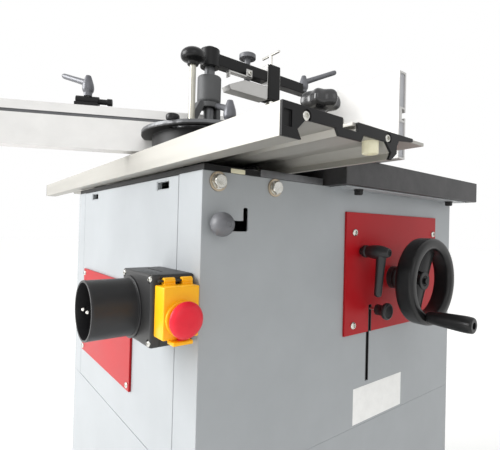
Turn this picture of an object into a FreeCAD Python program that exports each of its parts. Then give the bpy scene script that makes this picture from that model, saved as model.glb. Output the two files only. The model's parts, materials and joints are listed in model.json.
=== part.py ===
import FreeCAD, Part
import itertools
import math
import os
import re
import Sketcher
from FreeCAD import Placement, Rotation, Vector

# Spindle moulder with a sliding table, in millimetres, +Z up.
# The origin is the centre of the stand on the floor. The operator stands at -Y,
# the handwheel is on the +X side, and the sliding table runs along X.

SIZES = {
    # Clearances and the overrun of every cut
    "overrun": 2,
    "run_fit": 0.05,
    "near_gap": 0.3,
    # Stand and cabinet, sheet steel
    "cabinet_width": 553,
    "cabinet_depth": 633,
    "cabinet_height": 400,
    "stand_height": 420,
    "sheet_wall": 3,
    "rim_width": 45,
    "floor_hole_radius": 6.5,
    "floor_hole_inset": 25,
    "wrap_left": 49,
    "wrap_right": 60.6,
    "panel_gap": 1,
    "panel_fold": 18,
    "hook_width": 40,
    "hook_height": 13,
    "hook_drop": 5,
    "hook_from_right": 110,
    "hook_from_left": 121.5,
    # Red plates
    "plate_thickness": 4,
    "front_plate_width": 275,
    "front_plate_height": 174,
    "front_plate_inset": 207,
    "front_plate_bottom": 61,
    "control_width": 291.6,
    "control_height": 203.6,
    "control_from_front": 270.7,
    "control_bottom": 158,
    # Bolts that hold the slide guide to the cabinet sides
    "bolt_radius": 5,
    "bolt_across": 17,
    "bolt_head": 6.4,
    "washer_radius": 12.5,
    "washer_thickness": 2.2,
    "bolt_shank": 22,
    "bolt_drop": 12.6,
    "bolt_front_near": 22.4,
    "bolt_front_far": 116.5,
    # Cast-iron table and its insert rings
    "table_width": 633,
    "table_depth": 447.5,
    "table_thickness": 41,
    "table_from_front": 222.5,
    "table_rim": 10,
    "table_deck": 13,
    "table_rail": 32,
    "table_rib": 9,
    "table_rib_depth": 24,
    "ring_seat": 6,
    "ring_thickness": 9,
    "ring_large_radius": 88,
    "ring_small_radius": 60,
    "ring_bore_radius": 36,
    "ring_gap": 0.3,
    "ring_boss": 16,
    # Roller guide under the sliding table
    "guide_thickness": 8,
    "guide_width": 213,
    "guide_from_front": 2,
    "roller_radius": 18,
    "roller_height": 10,
    "roller_bevel": 4.5,
    "roller_stud_radius": 5,
    "roller_shoulder_radius": 8,
    "roller_head": 3,
    "roller_from_right": 70,
    "roller_from_left": 73,
    # Sliding table extrusion, outline taken from its front lower corner
    "slide_length": 1000,
    "slide_reach": 160,
    "slide_forward": 18.5,
    "slide_lift": 10,
    "slide_width": 240.5,
    "slide_height": 31,
    "leg_foot": 24,
    "front_apex": 19,
    "rear_apex": 165,
    "apex_rise": 8.5,
    "deck_under": 19,
    "rear_foot_back": 0.5,
    "rear_foot_width": 5.5,
    "rear_web": 11.5,
    "rear_web_top": 17,
    "lip_shoulder": 16,
    "lip_shoulder_rise": 24,
    "lip_start": 210,
    "lip_under": 27,
    "slot_place": 93,
    "slot_mouth": 13,
    "slot_lip": 4,
    "slot_inner": 24,
    "slot_depth": 10,
    "slot_block_width": 44,
    "slot_block_bevel": 4,
    "slot_block_rise": 12,
    "cap_thickness": 3,
    "bumper_radius": 9,
    "bumper_height": 14,
    "bumper_place": 143,
    "bumper_inset": 12,
    # Star knob in the T-slot
    "star_from_right": 119,
    "star_hub_radius": 13,
    "star_lobe_radius": 8,
    "star_lobe_circle": 14.5,
    "star_lobe_count": 6,
    "star_stem_radius": 6.2,
    "star_foot_radius": 10,
    "star_foot_height": 3,
    "star_stem_height": 17,
    "star_height": 21,
    # Mitre head: pivot from the right face, and local frame along the beam
    "pivot_from_right": 112,
    "mitre_angle": 63.3,
    "head_radius": 100,
    "head_skirt_radius": 84,
    "head_skirt_height": 22.7,
    "head_plate": 7,
    "head_slot_radius": 85,
    "head_slot_width": 11,
    "head_slot_share": 0.55,
    "pivot_stud_radius": 6,
    "pivot_stud_depth": 9,
    # Mitre beam extrusion
    "beam_offset": 24,
    "beam_thickness": 28,
    "beam_height": 66,
    "beam_lift": 5,
    "beam_out": 520,
    "beam_in": 60,
    "beam_wall": 3,
    "beam_groove_drop": 16,
    "beam_groove_height": 4,
    "beam_groove_depth": 2,
    "beam_slot_mouth": 8,
    "beam_slot_inner": 15,
    "beam_slot_lip": 3,
    "beam_slot_depth": 9,
    # Flip stop on the beam
    "stop_place": 202,
    "stop_length": 34,
    "stop_base": 5,
    "stop_radius": 7,
    "stop_sink": 1.5,
    "stop_tip_radius": 4.2,
    "stop_tip_length": 12,
    "stop_pad_radius": 5.5,
    "stop_pad_length": 7.5,
    "stop_key_width": 7.4,
    "stop_key_depth": 2.5,
    "stop_stud_depth": 9,
    # Clamping levers: a bullet hub with a rising arm
    "lever_hub_radius": 9,
    "lever_neck_radius": 5.5,
    "lever_hub_height": 32,
    "lever_nose": 9,
    "lever_arm_radius": 3.6,
    "lever_arm_length": 60,
    "lever_arm_angle": 20,
    "lever_ball_radius": 6,
    "lever_stud_radius": 4,
    "clamp_lever_angle": 55,
    "lock_place_along": 22,
    "lock_place_across": 82,
    # Mitre clamp knob on its tall rod
    "tall_rod_radius": 4.7,
    "tall_rod_height": 106,
    "tall_along": 27.1,
    "tall_across": 27.8,
    "tall_knob_radius": 18.6,
    "tall_knob_height": 16,
    "tall_knob_dome": 5,
    # Work clamp: foot, column, arm, block and shoe
    "foot_reach": 46,
    "foot_back": 18,
    "foot_width": 14,
    "foot_rise": 51,
    "foot_slope": 26,
    "foot_wall": 8,
    "boss_radius": 16,
    "boss_height": 41,
    "column_radius": 8,
    "column_start": 16,
    "arm_rise": 112,
    "arm_thickness": 18,
    "arm_reach": 197,
    "arm_sleeve_radius": 15,
    "arm_sleeve_height": 28,
    "arm_tongue": 20,
    "arm_tongue_thickness": 5,
    "block_place": 111,
    "block_length": 27,
    "block_width": 25,
    "block_under": 30,
    "block_over": 12,
    "block_round": 4,
    "screw_radius": 3,
    "screw_over": 34,
    "screw_bar_radius": 2.2,
    "screw_bar_length": 44,
    "shoe_start": 30,
    "shoe_end": 109,
    "shoe_height": 22,
    "shoe_width": 22,
    "shoe_toe": 7,
    "shoe_rake": 32,
    "shoe_under": 32,
    "pin_place": 73,
    "pin_radius": 5,
    "pin_over": 12,
    "pin_head_radius": 14,
    "pin_head_height": 7,
    # Switch box on the front, with the mains inlet on its face
    "box_width": 91.5,
    "box_depth": 55,
    "box_height": 85,
    "box_from_right": 14.5,
    "box_bottom": 188.5,
    "box_round": 4,
    "collar_radius": 36.3,
    "collar_wall": 2.6,
    "collar_length": 57,
    "collar_floor": 6,
    "collar_from_right": 79,
    "collar_rise": 227,
    "inlet_pin_radius": 2.4,
    "inlet_pin_length": 47,
    "inlet_pin_spacing": 19,
    # Emergency lid with its mushroom, over the start button
    "lid_width": 45,
    "lid_height": 59,
    "lid_depth": 25,
    "lid_wall": 2,
    "lid_bottom": 203,
    "lid_from_face": 6,
    "lid_gap": 0.5,
    "hinge_radius": 4,
    "hinge_pin_radius": 1.6,
    "hinge_rise": 4.5,
    "hinge_out": 5,
    "ear_length": 14,
    "mushroom_radius": 21,
    "mushroom_height": 11,
    "mushroom_edge": 4,
    "mushroom_stem_radius": 8,
    "mushroom_gap": 6,
    "mushroom_stem_inside": 4,
    "mushroom_rise": 226,
    "button_radius": 6,
    "button_out": 5,
    "button_inside": 8,
    "button_travel": 3,
    "button_rise": 214,
    # Spindle lift: handwheel, bevel gears, lead screw, columns
    "spindle_from_front": 339,
    "wheel_from_front": 406,
    "wheel_rise": 248,
    "wheel_radius": 73.5,
    "wheel_front": 83.5,
    "rim_depth": 31,
    "rim_band": 19,
    "rim_round": 8,
    "hub_radius": 20,
    "hub_length": 40,
    "wheel_gap": 1,
    "collar_height": 9,
    "spoke_count": 2,
    "spoke_width": 26,
    "spoke_thickness": 9,
    "shaft_radius": 8,
    "shaft_window": 15,
    "handle_circle": 60,
    "handle_angle": 246,
    "handle_length": 72,
    "handle_root_radius": 8,
    "handle_waist_radius": 9.5,
    "handle_end_radius": 13,
    "handle_pin_radius": 4,
    "handle_pin_length": 18,
    "screw_axis_inset": 111.5,
    "gear_tooth_count": 24,
    "pinion_tooth_count": 12,
    "gear_pitch_radius": 30,
    "pinion_pitch_radius": 15,
    "tooth_out": 2,
    "tooth_in": 2.6,
    "tooth_width_share": 0.26,
    "tooth_tip_share": 0.62,
    "gear_face_share": 0.3,
    "gear_blank": 8,
    "lead_radius": 9,
    "column_spread": 100,
    "column_behind": 75,
    "lift_column_radius": 15,
    "column_boss": 9,
    "bracket_thickness": 16,
    "bracket_width": 52,
    "upright_inset": 57,
    "upright_thickness": 16,
    "upright_width": 40,
    # Height lock lever, spindle lock pin, ball knob and their slots
    "height_lock_from_front": 312,
    "height_lock_rise": 297,
    "height_hub_length": 50,
    "height_hub_radius": 11.5,
    "height_arm_length": 66,
    "height_arm_radius": 6,
    "height_arm_tip_radius": 6.5,
    "height_stud_radius": 6,
    "slit_width": 6,
    "slit_bottom": 72,
    "slit_top": 204,
    "pin_rise": 198,
    "lock_pin_radius": 2.4,
    "lock_pin_start": 20,
    "lock_hole_radius": 3.6,
    "lock_hole_depth": 12,
    "pull_stem_gap": 13,
    "pull_stem_radius": 8,
    "pull_stem_length": 9,
    "pull_flare": 7,
    "pull_knob_radius": 14,
    "pull_knob_length": 6,
    "knob_from_front": 20,
    "knob_rise": 334,
    "slot_leg": 45,
    "slot_leg_height": 11,
    "slot_leg_width": 9,
    "slot_leg_top": 355,
    "ball_radius": 15,
    "ball_out": 22,
    "ball_stem_radius": 4.5,
    "ball_disc_radius": 12,
    "ball_disc_thickness": 4,
    # Spindle, housing, bearings and carriage
    "housing_radius": 47,
    "housing_bottom": 172,
    "housing_height": 200,
    "bearing_radius": 36,
    "bearing_width": 17,
    "bearing_inset": 6,
    "bearing_fit": 0.02,
    "journal_radius": 17.5,
    "spindle_bottom": 118,
    "arbor_radius": 15,
    "arbor_over": 105,
    "collar_flange_radius": 28,
    "collar_flange": 8,
    "flange_under": 14,
    "spacer_radius": 25,
    "spacer_height": 20,
    "spacer_count": 4,
    "spacer_fit": 0.05,
    "nut_across": 36,
    "nut_height": 16,
    "carriage_bottom": 180,
    "carriage_height": 120,
    "carriage_ring": 13,
    "bush_wall": 12,
    "web_thickness": 26,
    "arm_plate": 24,
    "nut_boss_radius": 19,
    "motor_behind": 177.5,
    "motor_radius": 70,
    "motor_height": 186,
    "motor_base": 12,
    "motor_base_width": 150,
    "motor_fin_count": 18,
    "fin_height": 6,
    "fin_thickness": 4,
    "motor_shaft_radius": 12,
    "motor_socket": 20,
    "fan_cover": 26,
    "pulley_bottom": 124,
    "pulley_height": 36,
    "pulley_flange": 4,
    "spindle_pulley_radius": 32,
    "motor_pulley_radius": 48,
    "belt_thickness": 5,
    "belt_width": 24,
    "belt_gap": 0.4,
    # Fence on the main table
    "hood_half": 120,
    "hood_depth": 138,
    "hood_height": 140,
    "hood_wall": 6,
    "hood_corner": 60,
    "wing_reach": 190,
    "wing_thickness": 10,
    "wing_height": 124,
    "foot_plate": 10,
    "foot_plate_depth": 120,
    "port_radius": 50,
    "port_wall": 3,
    "port_length": 55,
    "port_rise": 74,
    "clamp_across": 158,
    "clamp_behind": 80,
    "clamp_slot_width": 12,
    "clamp_slot_front": 10,
    "clamp_slot_length": 98,
    "board_face": 292,
    "board_thickness": 19,
    "board_height": 134,
    "board_length": 301,
    "board_inner": 55,
    "board_lift": 1,
    "board_bevel": 12,
    "board_slot_rise": 68,
    "board_slot_mouth": 9,
    "board_slot_inner": 17,
    "board_slot_lip": 3,
    "board_slot_depth": 10,
    "board_hollow_wall": 3,
}

FORMULA_WORDS = {"sin", "cos", "tan", "sqrt", "min", "max"}

doc = FreeCAD.newDocument("SpindleMoulder")
sheet = doc.addObject("Spreadsheet::Sheet", "Sizes")
for row, (alias, value) in enumerate(SIZES.items(), start=1):
    sheet.set(f"A{row}", alias)
    sheet.set(f"B{row}", str(value))
    sheet.setAlias(f"B{row}", alias)
doc.recompute()

PIECES = []

# Places that many pieces share, written as formulas of the sheet
RIGHT = "cabinet_width / 2"
FRONT = "-cabinet_depth / 2"
ROOF = "stand_height + cabinet_height"
DECK = f"{ROOF} + table_thickness"
SPINDLE_Y = "spindle_from_front - cabinet_depth / 2"
SLIDE_Y = "-slide_forward - cabinet_depth / 2"
SLIDE_Z = f"{ROOF} + slide_lift"
PIVOT_X = "cabinet_width / 2 - pivot_from_right"
PIVOT_Y = f"{SLIDE_Y} + slot_place"
HEAD_TOP = f"{SLIDE_Z} + slide_height + near_gap + head_skirt_height + head_plate"
GEAR_ROOM = "screw_axis_inset + gear_pitch_radius + tooth_out + tooth_in"
COLUMN_X = f"min(column_spread; {RIGHT} - ({GEAR_ROOM} + column_boss + lift_column_radius))"

# Turns that lay a piece made along +Z along another axis
TURNS = {
    "z": Rotation(),
    "-z": Rotation(Vector(1, 0, 0), 180),
    "x": Rotation(Vector(0, 1, 0), 90),
    "-x": Rotation(Vector(0, 1, 0), -90),
    "y": Rotation(Vector(1, 0, 0), -90),
    "-y": Rotation(Vector(1, 0, 0), 90),
}


def tied(formula):
    """A formula of sheet aliases, as other objects have to write it."""
    def with_sheet(match):
        word = match[0]
        return word if word in FORMULA_WORDS else f"Sizes.{word}"
    return re.sub(r"[a-z]\w*", with_sheet, formula)


def size(formula):
    """The number that a formula of sheet aliases comes to."""
    return float(sheet.evalExpression(formula))


def bind(thing, **formulas):
    for name, formula in formulas.items():
        thing.setExpression(name, tied(formula))
    return thing


def put(thing, x="0", y="0", z="0", along="z"):
    """Lay a thing along an axis, with its own origin at x, y, z."""
    thing.Placement = Placement(Vector(), TURNS[along])
    for letter, formula in zip("xyz", (x, y, z)):
        thing.setExpression(f".Placement.Base.{letter}", tied(formula))
    return thing


def swing(thing, angle, x="0", y="0", z="0"):
    """Turn a thing about +Z by a formula, with its own origin at x, y, z."""
    put(thing, x, y, z)
    thing.Placement.Rotation = Rotation(Vector(0, 0, 1), 1)
    thing.setExpression(".Placement.Rotation.Angle", tied(angle))
    return thing


def block(length, width, height, x="0", y="0", z="0"):
    shape = doc.addObject("Part::Box", "Block")
    bind(shape, Length=length, Width=width, Height=height)
    return put(shape, x, y, z)


def rod(radius, length, x="0", y="0", z="0", along="z"):
    shape = doc.addObject("Part::Cylinder", "Rod")
    bind(shape, Radius=radius, Height=length)
    return put(shape, x, y, z, along)


def taper(root, tip, length, x="0", y="0", z="0", along="z"):
    shape = doc.addObject("Part::Cone", "Taper")
    bind(shape, Radius1=root, Radius2=tip, Height=length)
    return put(shape, x, y, z, along)


def ball(radius, x="0", y="0", z="0"):
    shape = doc.addObject("Part::Sphere", "Ball")
    bind(shape, Radius=radius)
    return put(shape, x, y, z)


def hexagon(across, height, x="0", y="0", z="0", along="z"):
    shape = doc.addObject("Part::Prism", "Hexagon")
    shape.Polygon = 6
    bind(shape, Circumradius=f"{across} / sqrt(3)", Height=height)
    return put(shape, x, y, z, along)


def join(*shapes):
    result = doc.addObject("Part::MultiFuse", "Join")
    result.Shapes = list(shapes)
    result.Refine = True
    return result


def cut(base, *tools):
    result = doc.addObject("Part::Cut", "Cut")
    result.Base = base
    result.Tool = tools[0] if len(tools) == 1 else join(*tools)
    return result


def group(*shapes):
    """Separate solids that share one node."""
    result = doc.addObject("Part::Compound", "Group")
    result.Links = list(shapes)
    return result


def rounded(shape, radius, chosen):
    """Round the edges of a shape that a test picks."""
    doc.recompute()
    result = doc.addObject("Part::Fillet", "Rounded")
    result.Base = shape
    reach = size(radius)
    edges = enumerate(shape.Shape.Edges, start=1)
    result.Edges = [(number, reach, reach) for number, edge in edges if chosen(edge)]
    return result


def runs_along(axis):
    """A test for straight edges along an axis."""
    def chosen(edge):
        straight = isinstance(edge.Curve, Part.Line)
        return straight and abs(edge.Curve.Direction.dot(axis)) > math.cos(math.radians(1))
    return chosen


def piece(label, thing):
    """Name a finished sub-part, which is written to a file of that name."""
    thing.Label = label
    PIECES.append(thing)
    return thing


# Sketches: a loop is a list of corners (x, y), or (x, y, radius, side) where an
# arc leads to the corner, with its centre left (1) or right (-1) of the way there.

def fix(drawing, edge, end, x, y):
    """Hold one point of a sketch at its formulas."""
    for kind, axis, formula in (("DistanceX", -2, x), ("DistanceY", -1, y)):
        if formula == "0":
            drawing.addConstraint(Sketcher.Constraint("PointOnObject", edge, end, axis))
            continue
        rule = Sketcher.Constraint(kind, -1, 1, edge, end, size(formula))
        number = drawing.addConstraint(rule)
        drawing.setExpression(f"Constraints[{number}]", tied(formula))


def fix_radius(drawing, edge, radius):
    number = drawing.addConstraint(Sketcher.Constraint("Radius", edge, size(radius)))
    drawing.setExpression(f"Constraints[{number}]", tied(radius))


def arc_between(start, end, radius, side):
    chord = end - start
    rise = math.sqrt(max(radius ** 2 - (chord.Length / 2) ** 2, 0))
    left = Vector(-chord.y, chord.x, 0).normalize()
    centre = (start + end) / 2 + left * rise * side
    first, last = (start, end) if side > 0 else (end, start)
    angles = [math.atan2(spot.y - centre.y, spot.x - centre.x) for spot in (first, last)]
    return Part.ArcOfCircle(Part.Circle(centre, Vector(0, 0, 1), radius), *angles)


def add_loop(drawing, corners):
    first = len(drawing.Geometry)
    count = len(corners)
    spots = [Vector(size(corner[0]), size(corner[1]), 0) for corner in corners]
    ends = []
    for index in range(count):
        after = (index + 1) % count
        goal = corners[after]
        if len(goal) == 2:
            drawing.addGeometry(Part.LineSegment(spots[index], spots[after]))
            ends.append((1, 2))
            continue
        radius, side = goal[2:]
        edge = arc_between(spots[index], spots[after], size(radius), side)
        number = drawing.addGeometry(edge)
        fix_radius(drawing, number, radius)
        ends.append((1, 2) if side > 0 else (2, 1))
    for index, (start, end) in enumerate(ends):
        after = (index + 1) % count
        meet = Sketcher.Constraint("Coincident", first + index, end, first + after, ends[after][0])
        drawing.addConstraint(meet)
        fix(drawing, first + index, start, *corners[index][:2])


def sketch(body, role, *loops):
    drawing = body.newObject("Sketcher::SketchObject", "Sketch")
    plane = next(item for item in body.Origin.OriginFeatures if item.Role == role)
    drawing.AttachmentSupport = [(plane, "")]
    drawing.MapMode = "FlatFace"
    for corners in loops:
        add_loop(drawing, corners)
    return drawing


def padded(role, length, *loops, middle=False):
    """A body padded from loops on one of its origin planes."""
    body = doc.addObject("PartDesign::Body", "Body")
    feature = body.newObject("PartDesign::Pad", "Pad")
    feature.Profile = sketch(body, role, *loops)
    feature.Midplane = middle
    bind(feature, Length=length)
    body.Tip = feature
    return body


def turned(*loops):
    """A body turned about +Z from loops of (radius, height)."""
    body = doc.addObject("PartDesign::Body", "Body")
    drawing = sketch(body, "XZ_Plane", *loops)
    feature = body.newObject("PartDesign::Revolution", "Revolution")
    feature.Profile = drawing
    feature.ReferenceAxis = (drawing, ["V_Axis"])
    feature.Angle = 360
    body.Tip = feature
    return body


def repeat(body, count, role="Z_Axis"):
    """Repeat the last feature of a body round one of its axes."""
    axis = next(item for item in body.Origin.OriginFeatures if item.Role == role)
    pattern = body.newObject("PartDesign::PolarPattern", "Pattern")
    pattern.Originals = [body.Tip]
    pattern.Axis = (axis, [""])
    pattern.Angle = 360
    bind(pattern, Occurrences=count)
    body.Tip = pattern
    return body


def rectangle(left, bottom, right, top):
    return [(left, bottom), (right, bottom), (right, top), (left, top)]


def box_of_sheet(height, z):
    """A sheet-metal box with rims turned in at its top and bottom."""
    outside = block("cabinet_width", "cabinet_depth", height, f"-{RIGHT}", FRONT, z)
    inside = block(
        "cabinet_width - 2 * sheet_wall", "cabinet_depth - 2 * sheet_wall",
        f"{height} - 2 * sheet_wall",
        f"sheet_wall - {RIGHT}", f"sheet_wall {FRONT}", f"{z} + sheet_wall")
    window = block(
        "cabinet_width - 2 * rim_width", "cabinet_depth - 2 * rim_width",
        f"{height} + 2 * overrun",
        f"rim_width - {RIGHT}", f"rim_width {FRONT}", f"{z} - overrun")
    return outside, [inside, window]


def side_hole(radius, from_front, rise):
    """A round tool through the right wall and any plate on it."""
    return rod(
        radius, "sheet_wall + plate_thickness + collar_height + 2 * overrun",
        f"{RIGHT} - sheet_wall - overrun", f"{from_front} {FRONT}",
        f"stand_height + {rise}", along="x")


def side_window(from_front, rise, width, height):
    """A square tool through the right wall and any plate on it."""
    return block(
        "sheet_wall + plate_thickness + 2 * overrun", width, height,
        f"{RIGHT} - sheet_wall - overrun", f"{from_front} {FRONT}", f"stand_height + {rise}")


def slit_tool():
    return side_window(
        "spindle_from_front - slit_width / 2", "slit_bottom",
        "slit_width", "slit_top - slit_bottom")


# Stand and cabinet

def base_stand():
    outside, tools = box_of_sheet("stand_height", "0")
    for x in ("-1", "1"):
        for y in ("-1", "1"):
            tools.append(rod(
                "floor_hole_radius", "sheet_wall + 2 * overrun",
                f"{x} * (cabinet_width / 2 - floor_hole_inset)",
                f"{y} * (cabinet_depth / 2 - floor_hole_inset)", "-overrun"))
    piece("base_stand", cut(outside, *tools))


BOLT_PLACES = ("bolt_front_near", "bolt_front_far")


def cabinet_shell():
    outside, tools = box_of_sheet("cabinet_height", "stand_height")
    tools.append(block(
        "cabinet_width - wrap_left - wrap_right", "sheet_wall + overrun",
        "cabinet_height + 2 * overrun",
        f"wrap_left - {RIGHT}", f"{FRONT} - overrun", "stand_height - overrun"))
    tools.append(slit_tool())
    tools.append(side_hole("shaft_window", "wheel_from_front", "wheel_rise"))
    tools.append(side_hole("height_stud_radius + near_gap", "height_lock_from_front", "height_lock_rise"))
    tools.append(side_window(
        "knob_from_front - slot_leg_height / 2", "knob_rise - slot_leg_height / 2",
        "slot_leg + slot_leg_height / 2", "slot_leg_height"))
    tools.append(side_window(
        "knob_from_front + slot_leg - slot_leg_width", "knob_rise",
        "slot_leg_width", "slot_leg_top - knob_rise"))
    for place in BOLT_PLACES:
        tools.append(rod(
            "bolt_radius + near_gap", "cabinet_width + 2 * overrun",
            f"-{RIGHT} - overrun", f"{place} {FRONT}", f"{ROOF} - bolt_drop", along="x"))
    piece("cabinet_shell", cut(outside, *tools))


def front_panel():
    width = "(cabinet_width - wrap_left - wrap_right - 2 * panel_gap)"
    left = f"wrap_left + panel_gap - {RIGHT}"
    sheet_metal = block(
        width, "sheet_wall", "cabinet_height - 2 * panel_gap", left, FRONT, "stand_height + panel_gap")
    returns = []
    for place in (left, f"{left} + {width} - sheet_wall"):
        returns.append(block(
            "sheet_wall", "panel_fold", "cabinet_height - 2 * (sheet_wall + panel_gap)",
            place, FRONT, "stand_height + sheet_wall + panel_gap"))
    hooks = []
    for centre in (f"{RIGHT} - hook_from_right", f"hook_from_left - {RIGHT}"):
        hooks.append(block(
            "hook_width", "sheet_wall + 2 * overrun", "hook_height",
            f"{centre} - hook_width / 2", f"{FRONT} - overrun", f"{ROOF} - hook_drop - hook_height"))
    piece("front_panel", cut(join(sheet_metal, *returns), *hooks))


def red_plates():
    piece("front_plate", block(
        "front_plate_width", "plate_thickness", "front_plate_height",
        f"{RIGHT} - front_plate_inset - front_plate_width", f"{FRONT} - plate_thickness",
        "stand_height + front_plate_bottom"))
    plate = block(
        "plate_thickness", "control_width", "control_height",
        RIGHT, f"control_from_front {FRONT}", "stand_height + control_bottom")
    collar = rod(
        "hub_radius", "plate_thickness + collar_height", RIGHT,
        f"wheel_from_front {FRONT}", "stand_height + wheel_rise", along="x")
    piece("control_plate", cut(
        join(plate, collar), slit_tool(),
        side_hole("shaft_radius + run_fit", "wheel_from_front", "wheel_rise"),
        side_hole("height_stud_radius + run_fit", "height_lock_from_front", "height_lock_rise")))


def frame_bolts():
    bolts = []
    for side, place in itertools.product(("x", "-x"), BOLT_PLACES):
        sign = "-" if side == "-x" else ""
        at = {"y": f"{place} {FRONT}", "z": f"{ROOF} - bolt_drop", "along": side}
        washer = rod("washer_radius", "washer_thickness", f"{sign}({RIGHT})", **at)
        head = hexagon("bolt_across", "bolt_head", f"{sign}({RIGHT} + washer_thickness)", **at)
        shank = rod("bolt_radius", "bolt_shank", f"{sign}({RIGHT} + washer_thickness - bolt_shank)", **at)
        bolts.append(join(washer, head, shank))
    piece("frame_bolts", group(*bolts))


# Main table and its rings

def main_table():
    left = "-table_width / 2"
    front = f"table_from_front {FRONT}"
    hollow = "table_thickness - table_deck"
    casting = block("table_width", "table_depth", "table_thickness", left, front, ROOF)
    under = block(
        "table_width - 2 * table_rim", "table_depth - 2 * table_rim", f"{hollow} + overrun",
        f"{left} + table_rim", f"{front} + table_rim", f"{ROOF} - overrun")
    shell = cut(casting, under)
    inner_depth = "table_depth - 2 * table_rim"
    ribs = []
    for side in ("-1", "1"):
        ribs.append(block(
            "table_rail", inner_depth, hollow,
            f"{side} * ({RIGHT} - table_rail / 2 - sheet_wall) - table_rail / 2",
            f"{front} + table_rim", ROOF))
        ribs.append(block(
            "table_width - 2 * table_rim", "table_rib", "table_rib_depth", f"{left} + table_rim",
            f"{SPINDLE_Y} + {side} * (ring_large_radius + ring_boss) - table_rib / 2",
            f"{DECK} - table_deck - table_rib_depth"))
        ribs.append(rod(
            "lift_column_radius + column_boss", hollow, f"{side} * {COLUMN_X}",
            f"{SPINDLE_Y} + column_behind", ROOF))
    boss = rod(
        "ring_large_radius + ring_boss", "table_deck + ring_seat", "0", SPINDLE_Y,
        f"{DECK} - table_deck - ring_seat")
    opening = rod(
        "ring_large_radius - ring_seat", "table_thickness + 2 * overrun", "0", SPINDLE_Y,
        f"{ROOF} - overrun")
    seat = rod(
        "ring_large_radius + ring_gap", "ring_thickness + overrun", "0", SPINDLE_Y,
        f"{DECK} - ring_thickness")
    piece("main_table", cut(join(shell, boss, *ribs), opening, seat))


def table_rings():
    step = "ring_thickness / 2"
    outer = turned([
        ("ring_small_radius - ring_seat", "0"), ("ring_large_radius", "0"),
        ("ring_large_radius", "ring_thickness"), ("ring_small_radius + ring_gap", "ring_thickness"),
        ("ring_small_radius + ring_gap", step), ("ring_small_radius - ring_seat", step)])
    inner = turned(rectangle("ring_bore_radius", step, "ring_small_radius", "ring_thickness"))
    for ring in (outer, inner):
        put(ring, "0", SPINDLE_Y, f"{DECK} - ring_thickness")
    piece("table_rings", group(outer, inner))


# Roller guide

def roller_places():
    """Formulas for the axis of each V-roller, front pair first."""
    reach = "roller_radius + roller_height / 2 - roller_bevel + near_gap"
    rows = (f"{SLIDE_Y} + front_apex + {reach}", f"{SLIDE_Y} + rear_apex - ({reach})")
    columns = (f"{RIGHT} - roller_from_right", f"roller_from_left - {RIGHT}")
    return [(x, y) for y in rows for x in columns]


def guide_base():
    plate = block(
        "cabinet_width", "guide_width", "guide_thickness",
        f"-{RIGHT}", f"guide_from_front {FRONT}", ROOF)
    top = f"{ROOF} + guide_thickness"
    shoulder = "slide_lift + apex_rise - guide_thickness - roller_height / 2 - near_gap"
    studs = []
    for x, y in roller_places():
        studs.append(rod("roller_shoulder_radius", shoulder, x, y, top))
        studs.append(rod(
            "roller_stud_radius", f"{shoulder} + roller_height + 2 * near_gap", x, y, top))
        studs.append(rod(
            "roller_shoulder_radius", "roller_head", x, y,
            f"{top} + {shoulder} + roller_height + 2 * near_gap"))
    piece("guide_base", join(plate, *studs))


def guide_rollers():
    for number, (x, y) in enumerate(roller_places(), start=1):
        bore = "roller_stud_radius + run_fit"
        waist = "roller_radius - roller_bevel"
        flat = "(roller_height / 2 - roller_bevel)"
        roller = turned([
            (bore, "0"), (waist, "0"), ("roller_radius", f"roller_height / 2 - {flat}"),
            ("roller_radius", f"roller_height / 2 + {flat}"), (waist, "roller_height"),
            (bore, "roller_height")])
        piece(f"guide_roller_{number}", put(roller, x, y, f"{SLIDE_Z} + apex_rise - roller_height / 2"))


# Sliding table

def slide_outline(tip, notch):
    """The extrusion's outline as far as a tip, with a notch cut in its top."""
    flank = "(deck_under - apex_rise)"
    half_block = "slot_block_width / 2"
    return [
        ("0", "0"), ("leg_foot", "0"), ("front_apex", "apex_rise"),
        (f"front_apex + {flank}", "deck_under"),
        (f"slot_place - {half_block}", "deck_under"),
        (f"slot_place - {half_block} + slot_block_bevel", "slot_block_rise"),
        (f"slot_place + {half_block} - slot_block_bevel", "slot_block_rise"),
        (f"slot_place + {half_block}", "deck_under"),
        (f"rear_apex - {flank}", "deck_under"), ("rear_apex", "apex_rise"),
        ("rear_apex + rear_foot_back - rear_foot_width", "0"), ("rear_apex + rear_foot_back", "0"),
        ("rear_apex + rear_web", "apex_rise"), ("rear_apex + rear_web", "rear_web_top"),
        ("rear_apex + lip_shoulder", "lip_shoulder_rise"), *tip, *notch, ("0", "slide_height")]


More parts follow.
